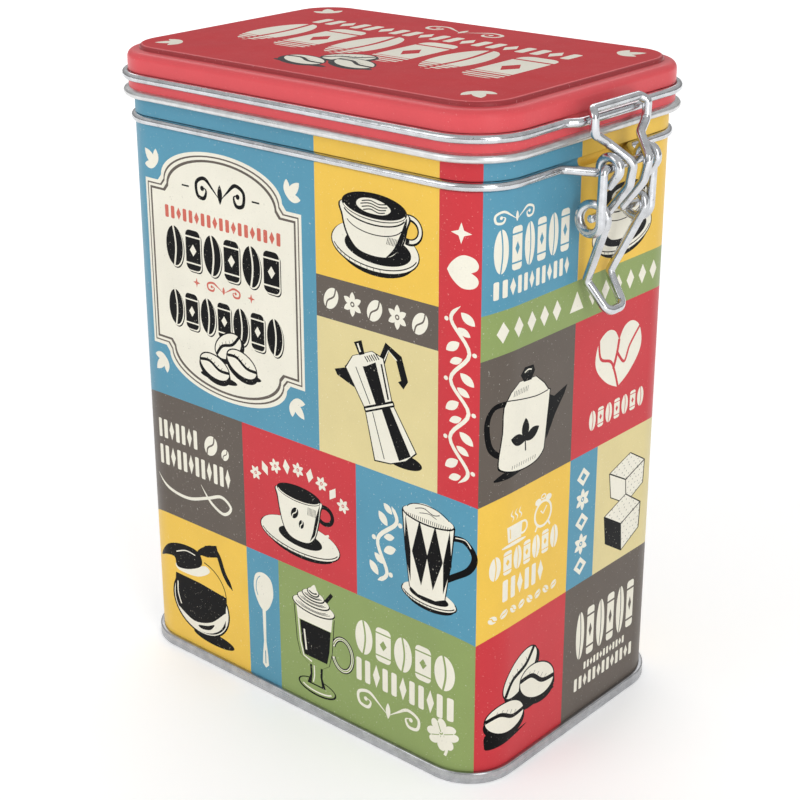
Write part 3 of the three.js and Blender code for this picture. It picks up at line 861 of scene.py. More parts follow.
def narrow_lower_row(art):
    """Three large beans, and rows of ornament."""
    own = art.at(-19.6, 0)
    own.blob(BLACK, [(-3.2, 21), (1, 16.4), (11.6, 14.6), (7.4, 13.8), (0, 13.6), (-4.6, 17.6)])
    own.blob(BLACK, [(-11.6, 12.4), (-6.4, 9.6), (1.4, 9.9), (-4, 8.6), (-11, 8), (-12.2, 9.4)])
    bean_with_depth(own, -1.4, 24.2, 13.6, 7.8, 36, under=-60)
    bean_with_depth(own, 5, 19.4, 13.4, 8.4, -22)
    bean_with_depth(own, -6, 14.8, 12.2, 7.6, -12)

    own = art.at(12.4, 0)
    block_row(own, CREAM, TAUPE, -12.4, 12.4, 17, 29.6, 6, gap=0.26)
    tick_row(own, CREAM, -8.6, 8.8, 13.4, 15.4, 13)
    tick_row(own, CREAM, -12.4, 12.4, 8.8, 12.2, 13)


def narrow_print():
    """The artwork of a narrow face, from the middle of the face at floor level."""
    art = Artwork()
    for draw in (narrow_panels, narrow_upper_rows, narrow_middle_row, narrow_lower_row):
        draw(art)
    return art.shapes


def lid_print():
    """The artwork of the lid's flat panel, seen from above with the front edge low."""
    art = Artwork()
    art.fill(LID_RED, round_corners(PLAN_X, PLAN_Y, CORNER_RADIUS + PANEL_EDGE, SHEET_CORNER_STEPS))
    block_row(art, CREAM, LID_RED, -42, 41, -13.8, 10.4, 6, gap=0.2, hatch=4)
    tick_row(art, CREAM, -38.5, 39.5, 12.6, 18.6, 19)
    scroll(art.at(0, 25), CREAM, 22, 5.6, 0.9)
    bean_pile(art.at(-0.8, -18.4, scale=1.25))
    corner_sprigs(art, 45.2, 26.8, scale=1.25)
    return art.shapes


# ---------------------------------------------------------------------------
# Placing shapes in the row frame
# ---------------------------------------------------------------------------

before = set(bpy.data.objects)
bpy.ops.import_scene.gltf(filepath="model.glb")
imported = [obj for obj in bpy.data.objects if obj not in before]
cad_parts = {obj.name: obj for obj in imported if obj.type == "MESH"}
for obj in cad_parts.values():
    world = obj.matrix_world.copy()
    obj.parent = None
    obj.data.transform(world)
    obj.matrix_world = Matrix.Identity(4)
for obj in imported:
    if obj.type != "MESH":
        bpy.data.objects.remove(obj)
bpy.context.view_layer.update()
WALL_LOW, WALL_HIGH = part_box("body_wall")
SHIFT_X = (WALL_LOW[0] + WALL_HIGH[0]) / 2
MM = 0.001


def in_row(x, y, z):
    return Vector((x * MM + SHIFT_X, y * MM, z * MM))


def mesh_of(shape, name):
    mesh = bpy.data.meshes.new(name)
    shape.to_mesh(mesh)
    shape.free()
    return mesh


def bridge(shape, rings):
    """Four-sided faces between rings of points that follow one another."""
    count = len(rings[0])
    for lower, upper in zip(rings, rings[1:]):
        for k in range(count):
            t = (k + 1) % count
            shape.faces.new((lower[k], lower[t], upper[t], upper[k]))


def smooth_mesh(shape, name, sharp):
    """A smooth mesh whose edges of more than this many degrees stay sharp."""
    bmesh.ops.recalc_face_normals(shape, faces=shape.faces)
    mesh = mesh_of(shape, name)
    mesh.shade_smooth()
    mesh.set_sharp_from_angle(angle=math.radians(sharp))
    return mesh


def in_scene(name, data):
    thing = bpy.data.objects.new(name, data)
    bpy.context.scene.collection.objects.link(thing)
    return thing


def add_object(name, mesh, body, nodes, materials):
    piece = in_scene(name, mesh)
    for material in materials:
        mesh.materials.append(material)
    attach(piece, body)
    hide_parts(*nodes)


# ---------------------------------------------------------------------------
# Materials
# ---------------------------------------------------------------------------


def linear(red, green, blue):
    """A colour given as it looks on a screen, 0 to 255, as the linear values a shader needs."""
    def one(value):
        value /= 255
        return value / 12.92 if value <= 0.04045 else ((value + 0.055) / 1.055) ** 2.4
    return (one(red), one(green), one(blue), 1.0)


def shade(colour, share):
    """A linear colour moved towards black (share below 0) or white (above 0)."""
    goal = 1.0 if share > 0 else 0.0
    return tuple(c + (goal - c) * abs(share) for c in colour[:3]) + (1.0,)


class Nodes:
    """A short way to build the node tree of a material or a world."""

    def __init__(self, owner, coordinates):
        owner.use_nodes = True
        self.tree = owner.node_tree
        self.place = self.add("ShaderNodeTexCoord", coordinates)

    def link(self, source, target):
        self.tree.links.new(source, target)

    def add(self, kind, output, numbers=None, sources=None):
        """A new node's output. numbers sets its sockets and sources are linked to them."""
        node = self.tree.nodes.new(kind)
        for socket, number in (numbers or {}).items():
            node.inputs[socket].default_value = number
        for socket, source in (sources or {}).items():
            self.link(source, node.inputs[socket])
        return node.outputs[output]

    def stretched(self, scale):
        """Object coordinates scaled along each axis."""
        return self.add("ShaderNodeMapping", "Vector", {"Scale": scale}, {"Vector": self.place})

    def noise(self, scale, detail=2.0, rough=0.5, place=None):
        numbers = {"Scale": scale, "Detail": detail, "Roughness": rough}
        return self.add("ShaderNodeTexNoise", "Fac", numbers, {"Vector": place or self.place})

    def height(self):
        return self.add("ShaderNodeSeparateXYZ", "Z", sources={0: self.place})

    def spread(self, value, low, high, to_low, to_high):
        """The value's stretch low to high turned into to_low to to_high, and held there."""
        numbers = {"From Min": low, "From Max": high, "To Min": to_low, "To Max": to_high}
        return self.add("ShaderNodeMapRange", "Result", numbers, {"Value": value})

    def mix(self, share, first, second):
        """A blend of two colours, each a colour or a socket."""
        node = self.tree.nodes.new("ShaderNodeMix")
        node.data_type = "RGBA"
        self.link(share, node.inputs["Factor"])
        for socket, colour in ((node.inputs[6], first), (node.inputs[7], second)):
            if isinstance(colour, tuple):
                socket.default_value = colour
            else:
                self.link(colour, socket)
        return node.outputs[2]

    def bump(self, height, strength, distance, below=None):
        sources = {"Height": height, "Normal": below} if below else {"Height": height}
        return self.add("ShaderNodeBump", "Normal", {"Strength": strength, "Distance": distance}, sources)


class Finish(Nodes):
    """A material of one shader whose sockets are fed with textures."""

    def __init__(self, name, metallic=None):
        self.material = bpy.data.materials.new(name)
        super().__init__(self.material, "Object")
        self.shader = self.tree.nodes["Principled BSDF"]
        if metallic:
            self.set("Metallic", metallic)

    def set(self, socket, value):
        self.shader.inputs[socket].default_value = value

    def feed(self, **sources):
        """Link sources to the shader's sockets, named with _ for a space."""
        for socket, source in sources.items():
            self.link(source, self.shader.inputs[socket.replace("_", " ")])
        return self.material

    def mottled(self, colour, grain, darker, lighter, span=(0.3, 0.7)):
        """The colour in patches from darker to lighter. grain is the noise's numbers."""
        share = self.spread(self.noise(*grain), *span, 0, 1)
        return self.mix(share, shade(colour, darker), shade(colour, lighter))

    def spotted(self, base, colour, grain, span, most):
        """The base with spots of a colour, which are at most this opaque."""
        return self.mix(self.spread(self.noise(*grain), *span, 0, most), base, colour)

    def varied(self, texture, low, high):
        """A texture's middle stretch as a number from low to high."""
        return self.spread(texture, 0.3, 0.7, low, high)

    def darker_between(self, base, dark, levels):
        """The base colour turned dark over a band of heights: foot, full, full, head in mm."""
        height = self.height()
        foot, full_from, full_to, head = (level * MM for level in levels)
        rising = self.spread(height, foot, full_from, 0, 1)
        falling = self.spread(height, full_to, head, 1, 0)
        return self.mix(falling, base, self.mix(rising, base, dark))


# The worn flecks of most inks, and how dark the painted shade over the lid's step is and at which heights
PALE_FLECK = (236, 234, 224)
STEP_PAINTED_SHADE = -0.55
STEP_PAINTED_SHADE_LEVELS = (LID_LEDGE - 0.02, LID_LEDGE + 0.15, LID_TOP - 0.15, LID_TOP)


def ink(name, red, green, blue, fleck=(232, 226, 208), flecks=0.45, roughness=0.36, gloss=0.2,
        painted_step_shade=False):
    """Satin printing ink on tinplate: worn flecks, a faint mottle and an orange-peel varnish.
    A painted step shade darkens the colour towards the foot of the lid's raised panel, standing in for the
    shade in the step's recess."""
    finish = Finish(name)
    finish.set("Specular IOR Level", gloss)
    colour = linear(red, green, blue)
    base = finish.mottled(colour, (60, 4.0, 0.6), -0.08, 0)
    base = finish.spotted(base, shade(colour, -0.25), (2600, 1.0), (0.35, 0.65), 0.1)
    # Painted shade: the colour turns darker over the lid's step, from the ledge up to the panel
    if painted_step_shade:
        base = finish.darker_between(base, shade(colour, STEP_PAINTED_SHADE), STEP_PAINTED_SHADE_LEVELS)
    base = finish.spotted(base, linear(*fleck), (2100, 2.0, 0.65), (0.685, 0.73), flecks)
    sheet_wave = finish.bump(finish.noise(22, 1.0), 0.25, 0.0006)
    peel = finish.bump(finish.noise(1900, 2.0), 0.12, 0.00006, sheet_wave)
    sheen = finish.varied(finish.noise(90, 5.0, 0.65), roughness - 0.04, roughness + 0.07)
    return finish.feed(Base_Color=base, Roughness=sheen, Normal=peel)


def bare_tinplate(name, tone=(176, 177, 180), roughness=0.27):
    """Bare rolled tinplate: bright, with fine drawing lines round the tin and dull spangles."""
    finish = Finish(name, metallic=1.0)
    base = finish.mottled(linear(*tone), (420, 3.0, 0.6), -0.12, 0.1, (0.35, 0.65))
    base = finish.spotted(base, linear(150, 148, 144), (35, 3.0, 0.6), (0.55, 0.75), 0.35)
    lines = finish.noise(1.0, 2.0, 0.5, finish.stretched((60, 60, 6000)))
    return finish.feed(Base_Color=base, Normal=finish.bump(lines, 0.15, 0.00004),
                       Roughness=finish.varied(lines, roughness - 0.06, roughness + 0.1))


def lacquered_inside():
    """The inside of the tin: tinplate under a thin gold food lacquer."""
    finish = Finish("gold_lacquer", metallic=0.9)
    base = finish.mottled(linear(206, 190, 150), (120, 4.0, 0.6), -0.1, 0.08)
    lines = finish.noise(1.0, 3.0, 0.5, finish.stretched((40, 40, 2500)))
    return finish.feed(Base_Color=base, Normal=finish.bump(lines, 0.12, 0.00005),
                       Roughness=finish.varied(lines, 0.26, 0.42))


def drawn_wire():
    """Bright zinc-plated wire with a fine ripple, dull patches and small nicks."""
    finish = Finish("bright_wire", metallic=1.0)
    base = finish.mottled(linear(214, 216, 219), (260, 4.0, 0.62), 0, -0.22, (0.42, 0.68))
    base = finish.spotted(base, linear(92, 90, 88), (1400, 2.0, 0.7), (0.68, 0.74), 0.7)
    waves = finish.bump(finish.noise(330, 1.0), 0.5, 0.00012)
    return finish.feed(Base_Color=base, Normal=finish.bump(finish.noise(2600, 2.0), 0.2, 0.00003, waves),
                       Roughness=finish.varied(finish.noise(500, 3.0, 0.6), 0.11, 0.26))


def seal_rubber():
    finish = Finish("seal_rubber")
    base = finish.mottled(linear(226, 222, 210), (150, 4.0, 0.6), -0.08, 0)
    return finish.feed(Base_Color=base, Normal=finish.bump(finish.noise(1800, 2.0), 0.25, 0.00008),
                       Roughness=finish.varied(finish.noise(600, 2.0), 0.5, 0.7))


INKS = {
    CREAM: ink("ink_cream", 240, 236, 220, fleck=(120, 116, 106), flecks=0.35),
    BLACK: ink("ink_black", 5, 5, 7, fleck=(190, 186, 172), flecks=0.7, gloss=0.1),
    BLUE: ink("ink_blue", 88, 152, 178, fleck=PALE_FLECK),
    YELLOW: ink("ink_yellow", 241, 198, 82, fleck=(252, 240, 196)),
    RED: ink("ink_red", 205, 56, 64, fleck=(240, 180, 170)),
    GREEN: ink("ink_green", 143, 162, 98, fleck=PALE_FLECK),
    TAUPE: ink("ink_taupe", 99, 90, 82, fleck=PALE_FLECK),
    BEIGE: ink("ink_beige", 226, 211, 154, fleck=(250, 244, 220)),
    CORAL: ink("ink_coral", 208, 104, 88, fleck=PALE_FLECK),
    LID_RED: ink("lid_enamel", 203, 44, 52, fleck=(236, 150, 146), roughness=0.33, gloss=0.04),
}
# The skirt's enamel carries painted shade over the step below the raised panel
SKIRT_RED = ink("lid_skirt_enamel", 226, 86, 92, fleck=(240, 170, 166), roughness=0.33, painted_step_shade=True)
INK_ORDER = list(INKS)
TINPLATE = bare_tinplate("bare_tinplate")
# A lighter copy of the bare tinplate for the lid's hem: painted highlight
HEM_HIGHLIGHT_TINPLATE = bare_tinplate("tinplate_painted_highlight", tone=(222, 222, 222), roughness=0.3)
LACQUER = lacquered_inside()
WIRE = drawn_wire()
RUBBER = seal_rubber()


# ---------------------------------------------------------------------------
# Printed sheet: artwork cut into triangles and laid on the wall
# ---------------------------------------------------------------------------


def cut_artwork(shapes, extra_lines):
    """Triangles of the artwork, each with the number of the ink that lies on top there. The
    extra lines only cut."""
    points, edges, faces = [], [], []
    for outline in [outline for _, outline in shapes] + extra_lines:
        corners = list(range(len(points), len(points) + len(outline)))
        points += [Vector(p) for p in outline]
        (faces if len(corners) > 2 else edges).append(corners)
    cut = delaunay_2d_cdt(points, edges, faces, 1, MERGE_DISTANCE)
    places, triangles, sources = cut[0], cut[2], cut[5]
    return places, [(triangle, INK_ORDER.index(shapes[max(source)][0]))
                    for triangle, source in zip(triangles, sources) if source]


def droop(along, level, straight):
    """How far the print hangs low at a place, where it runs round a corner."""
    share = max(0.0, abs(along) - straight) / HALF_CORNER
    lowest = ROWS[1]
    if level <= lowest:
        reach = max(0.0, (level - SEAM_TOP) / (lowest - SEAM_TOP))
    else:
        reach = max(0.0, (DROOP_TOP - level) / (DROOP_TOP - lowest)) ** DROOP_FADE
    return DROOP * share ** 2 * reach


def wall_profile(level):
    """Offset, height and slope angle of the wall at a level, through the wire groove."""
    if abs(level - BODY_WIRE_LEVEL) > GROOVE_RADIUS - ROUNDING:
        return 0.0, level, 0.0
    low = BODY_WIRE_LEVEL - GROOVE_RADIUS
    angle = math.pi * (level - low) / (2 * GROOVE_RADIUS)
    return -GROOVE_RADIUS * math.sin(angle), BODY_WIRE_LEVEL - GROOVE_RADIUS * math.cos(angle), angle


def on_face(along, level, straight, distance, quarter):
    """The place and outward normal of a printed point. quarter 0 is the -y face."""
    level -= droop(along, level, straight)
    offset, height, angle = wall_profile(level)
    past = max(0.0, abs(along) - straight) / CORNER_RADIUS
    side = math.copysign(1, along)
    out = Vector((side * math.sin(past), -math.cos(past), 0))
    centre = Vector((side * min(abs(along), straight), -(distance - CORNER_RADIUS), 0))
    place = centre + out * (CORNER_RADIUS + offset)
    normal = out
    if angle:
        normal = (out * math.sin(angle) * GROOVE_LEAN + Vector((0, 0, math.cos(angle)))).normalized()
    turn = Matrix.Rotation(math.pi / 2 * quarter, 3, "Z")
    place, normal = turn @ place, turn @ normal
    return in_row(place.x, place.y, height), normal


def cut_lines(half, straight):
    """Upright lines round the corners and level lines through the groove."""
    lines = []
    for side in (-1, 1):
        for step in range(CORNER_STEPS):
            along = side * (straight + HALF_CORNER * step / CORNER_STEPS)
            lines.append(((along, PRINT_BOTTOM), (along, NECK_START)))
    for step in range(GROOVE_STEPS + 1):
        level = BODY_WIRE_LEVEL + GROOVE_RADIUS * (2 * step / GROOVE_STEPS - 1)
        lines.append(((-half, level), (half, level)))
    return lines


def printed_mesh(name, laid, triangles):
    """A mesh of the cut artwork. laid has each point's place and normal."""
    mesh = bpy.data.meshes.new(name)
    mesh.from_pydata([place for place, _ in laid], [], [triangle for triangle, _ in triangles])
    mesh.shade_smooth()
    for polygon, (_, ink_index) in zip(mesh.polygons, triangles):
        polygon.material_index = ink_index
    mesh.normals_split_custom_set_from_vertices([normal for _, normal in laid])
    return mesh


def printed_wall():
    """The four printed faces. Opposite faces carry the same artwork."""
    faces = (
        ("print_wide", wide_print(), WIDE_HALF, PLAN_X, DEPTH / 2, (0, 2)),
        ("print_narrow", narrow_print(), NARROW_HALF, PLAN_Y, WIDTH / 2, (1, 3)),
    )
    for name, shapes, half, straight, distance, quarters in faces:
        places, triangles = cut_artwork(shapes, cut_lines(half, straight))
        for quarter, side in zip(quarters, ("front", "back")):
            laid = [on_face(place.x, place.y, straight, distance, quarter) for place in places]
            mesh = printed_mesh(f"{name}_{side}", laid, triangles)
            add_object(mesh.name, mesh, "body", ["body_wall"], INKS.values())


def printed_lid_panel():
    places, triangles = cut_artwork(lid_print(), [])
    laid = [(in_row(place.x, place.y, LID_TOP), Vector((0, 0, 1))) for place in places]
    mesh = printed_mesh("lid_panel", laid, triangles)
    add_object("lid_panel", mesh, "lid", ["lid_shell"], INKS.values())


# ---------------------------------------------------------------------------
# Pressed sheet: a profile carried round the rounded rectangle of the tin
# ---------------------------------------------------------------------------


def outline_point(station, offset):
    """A place on the outline drawn at an offset; each quarter is one corner arc."""
    quarter, step = divmod(station, SHEET_CORNER_STEPS + 1)
    angle = (quarter + step / SHEET_CORNER_STEPS) * math.pi / 2
    sign_x = 1 if quarter in (0, 3) else -1
    sign_y = 1 if quarter < 2 else -1
    radius = CORNER_RADIUS + offset
    return (sign_x * PLAN_X + radius * math.cos(angle), sign_y * PLAN_Y + radius * math.sin(angle))


def bead(offset, level, radius, start, end, steps=12):
    """Points of an arc in the profile plane, angles in degrees."""
    angles = [math.radians(start + (end - start) * i / steps) for i in range(steps + 1)]
    return [(offset + radius * math.cos(a), level + radius * math.sin(a)) for a in angles]


def pressed_sheet(name, profile, body, nodes, material, closed=False, filled=False, sharp=40):
    """A sheet from a profile, a list of (offset, level). A closed one joins its ends and a
    filled one has a flat face in its last ring."""
    stations = 4 * (SHEET_CORNER_STEPS + 1)
    shape = bmesh.new()
    rings = [[shape.verts.new(in_row(*outline_point(s, offset), level)) for s in range(stations)]
             for offset, level in profile]
    bridge(shape, rings + rings[:1] if closed else rings)
    if filled:
        shape.faces.new(rings[-1])
    add_object(name, smooth_mesh(shape, name, sharp), body, nodes, [material])


def groove(offset, level, face, reach=GROOVE_RADIUS):
    """The hollow a wire lies in, running upwards."""
    half = math.degrees(math.acos((offset - face) / reach))
    return bead(offset, level, reach, 180 + half, 180 - half, 14)


def body_sheets():
    """The neck and its rolled rim, and the lacquered inside of the wall."""
    curl = NECK_OFFSET - RIM_CURL_RADIUS
    inner = NECK_OFFSET - SHEET
    neck = [(0, NECK_START), (-0.1, NECK_START + 0.5), (NECK_OFFSET + 0.1, NECK_START + 1.0),
            (NECK_OFFSET, NECK_START + 1.4)]
    rim_tail = (inner, NECK_TOP - 2.2)
    rim = bead(curl, NECK_TOP - RIM_CURL_RADIUS, RIM_CURL_RADIUS, 0, 270, 18)
    pressed_sheet("neck_and_rim", neck + rim + [rim_tail], "body", ["body_wall"],
                  TINPLATE)
    inside = [rim_tail, (inner, NECK_START + 1.2), (-SHEET, NECK_START - 0.2)]
    inside += groove(0, BODY_WIRE_LEVEL, -SHEET, GROOVE_RADIUS + SHEET)[::-1]
    inside += [(-SHEET, WALL_BOTTOM), (0, WALL_BOTTOM)]
    pressed_sheet("wall_inside", inside, "body", ["body_wall"], LACQUER)


def base_sheets():
    """The rolled seam, the underside and the lacquered inside. chuck is the offset of the
    upright wall inside the seam, and roll is the seam's radius."""
    chuck = -SHEET - 0.3
    roll = 0.45
    panel_bend = (chuck - 3.2, PANEL_UNDERSIDE + 0.05)
    profile = [panel_bend, (chuck - 2.4, PANEL_UNDERSIDE), (chuck - 0.95, 0.35)]
    profile += [(chuck - 0.7, 0.06), (chuck - 0.4, 0)]
    profile += bead(SEAM_OFFSET - roll, roll, roll, -90, 0, 6)
    profile += bead(SEAM_OFFSET - roll - 0.05, 1.45, roll, -40, 40, 6)[1:-1]
    profile += bead(SEAM_OFFSET - roll, SEAM_TOP - roll, roll, 0, 80, 6)
    profile += [(0.05, SEAM_TOP)]
    pressed_sheet("base_ring", profile, "body", ["base_pan"], TINPLATE)
    under = [panel_bend, (chuck - 9, PANEL_UNDERSIDE), (chuck - 10, PANEL_UNDERSIDE + 0.3),
             (FLAT_EDGE, PANEL_UNDERSIDE + 0.3)]
    pressed_sheet("base_underside", under, "body", ["base_pan"], TINPLATE, filled=True)
    floor = [(-SHEET, SEAM_TOP), (chuck - SHEET, SEAM_TOP), (chuck - 1.9, PANEL_UNDERSIDE + SHEET),
             (FLAT_EDGE, PANEL_UNDERSIDE + SHEET)]
    pressed_sheet("base_inside", floor, "body", ["base_pan"], LACQUER, filled=True)


def lid_sheets():
    """The enamelled outside round the panel, the rolled hem in a lighter tinplate that paints its
    highlight, and the lacquered inside.
    """
    shoulder = SKIRT_OFFSET - SHOULDER_RADIUS
    shoulder_level = LID_LEDGE - SHOULDER_RADIUS
    inner = SKIRT_OFFSET - SHEET
    hem_start = (SKIRT_OFFSET, HEM_LEVEL + HEM_RADIUS + 0.15)
    hem_end = (inner, HEM_LEVEL + 0.6)
    enamel = bead(PANEL_EDGE, LID_TOP - 0.7, 0.7, 90, 4, 8)
    enamel += [(PANEL_EDGE + 0.72, LID_LEDGE + 0.12), (PANEL_EDGE + 0.86, LID_LEDGE)]
    enamel += bead(shoulder, shoulder_level, SHOULDER_RADIUS, 90, 0, 10)
    enamel += groove(LID_WIRE_OFFSET, LID_WIRE_LEVEL, SKIRT_OFFSET)[::-1]
    enamel += [hem_start]
    pressed_sheet("lid_enamel_sheet", enamel, "lid", ["lid_shell"], SKIRT_RED, sharp=50)
    hem = [hem_start] + bead(inner + HEM_RADIUS, HEM_LEVEL, HEM_RADIUS, 60, -180, 20) + [hem_end]
    pressed_sheet("lid_hem", hem, "lid", ["lid_shell"], HEM_HIGHLIGHT_TINPLATE)
    inside = [hem_end]
    inside += groove(LID_WIRE_OFFSET, LID_WIRE_LEVEL, inner, GROOVE_RADIUS + SHEET)
    inside += bead(shoulder, shoulder_level, SHOULDER_RADIUS - SHEET, 0, 90, 8)
    inside += [(-2.3, LID_LEDGE - SHEET), (-2.4, LID_TOP - 1.2), (-3.0, LID_TOP - SHEET),
               (FLAT_EDGE, LID_TOP - SHEET)]
    pressed_sheet("lid_inside", inside, "lid", ["lid_shell"], LACQUER, filled=True)


def gasket():
    """The soft ring under the lid's ledge."""
    middle = (GASKET_INNER + GASKET_OUTER) / 2
    profile = [(GASKET_INNER, GASKET_BOTTOM + 0.2), (GASKET_INNER + 0.2, GASKET_BOTTOM),
               (middle, GASKET_BOTTOM + 0.1), (GASKET_OUTER - 0.5, GASKET_BOTTOM),
               (GASKET_OUTER, GASKET_BOTTOM + 0.2), (GASKET_OUTER - 0.15, GASKET_TOP - 0.1),
               (GASKET_OUTER - 0.5, GASKET_TOP), (GASKET_INNER, GASKET_TOP)]
    pressed_sheet("sealing_ring", profile, "lid", ["lid_gasket"], RUBBER, closed=True)


# ---------------------------------------------------------------------------
# Bent wire
# ---------------------------------------------------------------------------


def rounded_run(corners):
    """Places along a run with its corners rounded. Each corner is (place, radius)."""
    places = []
    for i, (corner, radius) in enumerate(corners):
        if not radius:
            places.append(corner)
            continue
        arrive = (corner - corners[i - 1][0]).normalized()
        leave = (corners[i + 1][0] - corner).normalized()
        turn = arrive.angle(leave)
        start = corner - arrive * radius * math.tan(turn / 2)
        centre = corner + (leave - arrive).normalized() * radius / math.cos(turn / 2)
        axis = arrive.cross(leave).normalized()
        steps = max(3, math.ceil(math.degrees(turn) / BEND_STEP))
        for k in range(steps + 1):
            spoke = Matrix.Rotation(turn * k / steps, 3, axis) @ (start - centre)
            places.append(centre + spoke)
    return places


def turn_about_y(centre, radius, start, end, from_y, to_y):
    """Places of an arc or coil about an axis along y, in degrees from +x towards +z."""
    steps = math.ceil(abs(end - start) / BEND_STEP)
    places = []
    for i in range(steps + 1):
        share = i / steps
        angle = math.radians(start + (end - start) * share)
        places.append(Vector((centre[0] + radius * math.cos(angle), from_y + (to_y - from_y) * share,
                              centre[1] + radius * math.sin(angle))))
    return places


def at(x, y, z, radius=0.0):
    return (Vector((x, y, z)), radius)


def plan_corner(sign_x, sign_y, offset, level):
    return at(sign_x * (WIDTH / 2 + offset), sign_y * (DEPTH / 2 + offset), level, CORNER_RADIUS + offset)


def mirrored(places):
    return [Vector((p.x, -p.y, p.z)) for p in reversed(places)]


def wire_mesh(name, route):
    """A round wire along a route, with slightly domed cut ends."""
    shape = bmesh.new()
    last = len(route) - 1
    tangents = []
    for i in range(last + 1):
        run = Vector()
        for k in (max(i - 1, 0), min(i, last - 1)):
            run += (route[k + 1] - route[k]).normalized()
        tangents.append(run.normalized())
    side = tangents[0].orthogonal().normalized()
    inward = tangents[0] * END_LENGTH, -tangents[last] * END_LENGTH
    stations = [(route[0], tangents[0], END_SIZES[0]), (route[0] + inward[0], tangents[0], END_SIZES[1])]
    stations += [(route[i], tangents[i], 1.0) for i in range(1, last)]
    stations += [(route[last] + inward[1], tangents[last], END_SIZES[1]),
                 (route[last], tangents[last], END_SIZES[0])]
    rings = []
    for i, (place, tangent, size) in enumerate(stations):
        if i:
            side = (side - tangent * side.dot(tangent)).normalized()
        up = tangent.cross(side)
        ring = []
        for k in range(WIRE_SIDES):
            angle = 2 * math.pi * k / WIRE_SIDES
            spoke = (side * math.cos(angle) + up * math.sin(angle)) * WIRE_RADIUS * size
            ring.append(shape.verts.new(in_row(*(place + spoke))))
        rings.append(ring)
    bridge(shape, rings)
    shape.faces.new(rings[0][::-1])
    shape.faces.new(rings[-1])
    return smooth_mesh(shape, name, 45)


def without_repeats(route):
    kept = [route[0]]
    kept += [place for before, place in zip(route, route[1:]) if (place - before).length > SHORTEST_STEP]
    return kept


def add_wire(name, route, body, node):
    add_object(name, wire_mesh(name, without_repeats(route)), body, [node], [WIRE])


def body_wire():
    """The wire round the neck: a pivot eye at each end and the hinge bar at the back."""
    level, face = BODY_WIRE_LEVEL, WIDTH / 2
    loop = turn_about_y(PIVOT, EYE_RADIUS, PIVOT_EYE_END, 180, -PIVOT_EYE_Y, -PIVOT_EYE_Y)
    angle = math.radians(PIVOT_EYE_END)
    tail = loop[0] + Vector((math.sin(angle), 0, -math.cos(angle))) * PIVOT_EYE_TAIL
    run = rounded_run([
        (loop[-1], 0),
        at(PIVOT[0] - EYE_RADIUS, -PIVOT_EYE_Y, level - 0.8, 1.1),
        at(face, -12.2, level, 3),
        plan_corner(1, -1, 0, level),
        plan_corner(-1, -1, 0, level),
        at(-face, -HINGE_BAR_HALF - HINGE_STEP, level, 2.5),
        at(HINGE_X, -HINGE_BAR_HALF, level, 2.5),
        at(HINGE_X, 0, level),
    ])
    half = [tail] + loop[:-1] + run
    add_wire("neck_wire", half + mirrored(half), "body", "body_wire")


def lid_wire():
    """The wire round the lid: eyes on the hinge bar and a bar for the hook in front."""
    level, face = LID_WIRE_LEVEL, WIDTH / 2 + LID_WIRE_OFFSET
    eye = turn_about_y((HINGE_X, BODY_WIRE_LEVEL), EYE_RADIUS, 60, -180, -HINGE_EYE_Y, -HINGE_EYE_Y)
    run = rounded_run([
        (eye[-1], 0),
        at(HINGE_X - EYE_RADIUS, -HINGE_EYE_Y, level, 2.2),
        at(-face, -HINGE_EYE_Y - 4.6, level, 2.2),
        plan_corner(-1, -1, LID_WIRE_OFFSET, level),
        plan_corner(1, -1, LID_WIRE_OFFSET, level),
        at(face, -13.6, level, 2.5),
        at(LID_BAR_X, -11, level, 2.5),
        at(LID_BAR_X, 0, level),
    ])
    half = eye[:-1] + run
    add_wire("lid_ring_wire", half + mirrored(half), "lid", "lid_wire")


def clasp_link():
    """The hook, from the lever's elbow up and over the lid wire's bar."""
    half = rounded_run([
        at(ELBOW[0], -ARM_Y + 0.6, ELBOW[1]),
        at(ELBOW[0], -2.4, ELBOW[1], 1.2),
        at(65.5, -2.6, 134.4, 3),
        at(66.4, -2.9, 139.3, 2),
        at(62, -6, 143.4, 2.5),
        at(61.1, -9.4, 145.6, 2),
        at(61.1, -9.6, 149.4, 1.1),
        at(59.7, -8.4, 150.4, 1.1),
        at(59.7, 0, 150.4),
    ])
    add_wire("clasp_hook", half + mirrored(half), "link", "clasp_link")


def clasp_lever():
    """The lever: a split crossbar in the pivot eyes, arms, coils at the elbow, legs and grip."""
    coil = turn_about_y(ELBOW, COIL_RADIUS, 0, COIL_EXIT - 360, -ARM_Y, -LEG_Y)
    start, end = CROSSBAR_GAP_Y
    arm = rounded_run([at(PIVOT[0], start, PIVOT[1]), at(PIVOT[0], -ARM_Y, PIVOT[1], 1.1), (coil[0], 0)])
    grip_x, grip_y, grip_z = GRIP_BEND
    end_x, end_y, end_z = GRIP_END
    legs = rounded_run([
        (coil[-1], 0),
        at(grip_x, -grip_y, grip_z, 1.6),
        at(end_x, -end_y, end_z, 2.3),
        at(end_x, end_y, end_z, 2.3),
        at(grip_x, grip_y, grip_z, 1.6),
        (mirrored(coil)[0], 0),
    ])
    far_arm = mirrored(arm)[:-1] + [Vector((PIVOT[0], end, PIVOT[1]))]
    add_wire("clasp_handle", arm + coil + legs[1:-1] + mirrored(coil) + far_arm, "lever", "clasp_lever")


# ---------------------------------------------------------------------------
# Camera, light and floor
# ---------------------------------------------------------------------------

CAMERA_PLACE = (248.6, -287.7, 225.6)
CAMERA_AZIMUTH = 42.88
CAMERA_PITCH = 20.78
CAMERA_ROLL = -0.87
CAMERA_LENS = 75.96
CAMERA_SENSOR = 36
CAMERA_SHIFT = (0.077, -0.06)

# Height of the direction and strength of the light there, at the horizon and overhead
WORLD_GRADIENT = (0.0, 0.35, 0.18, 0.58)
BACKDROP = 1.0

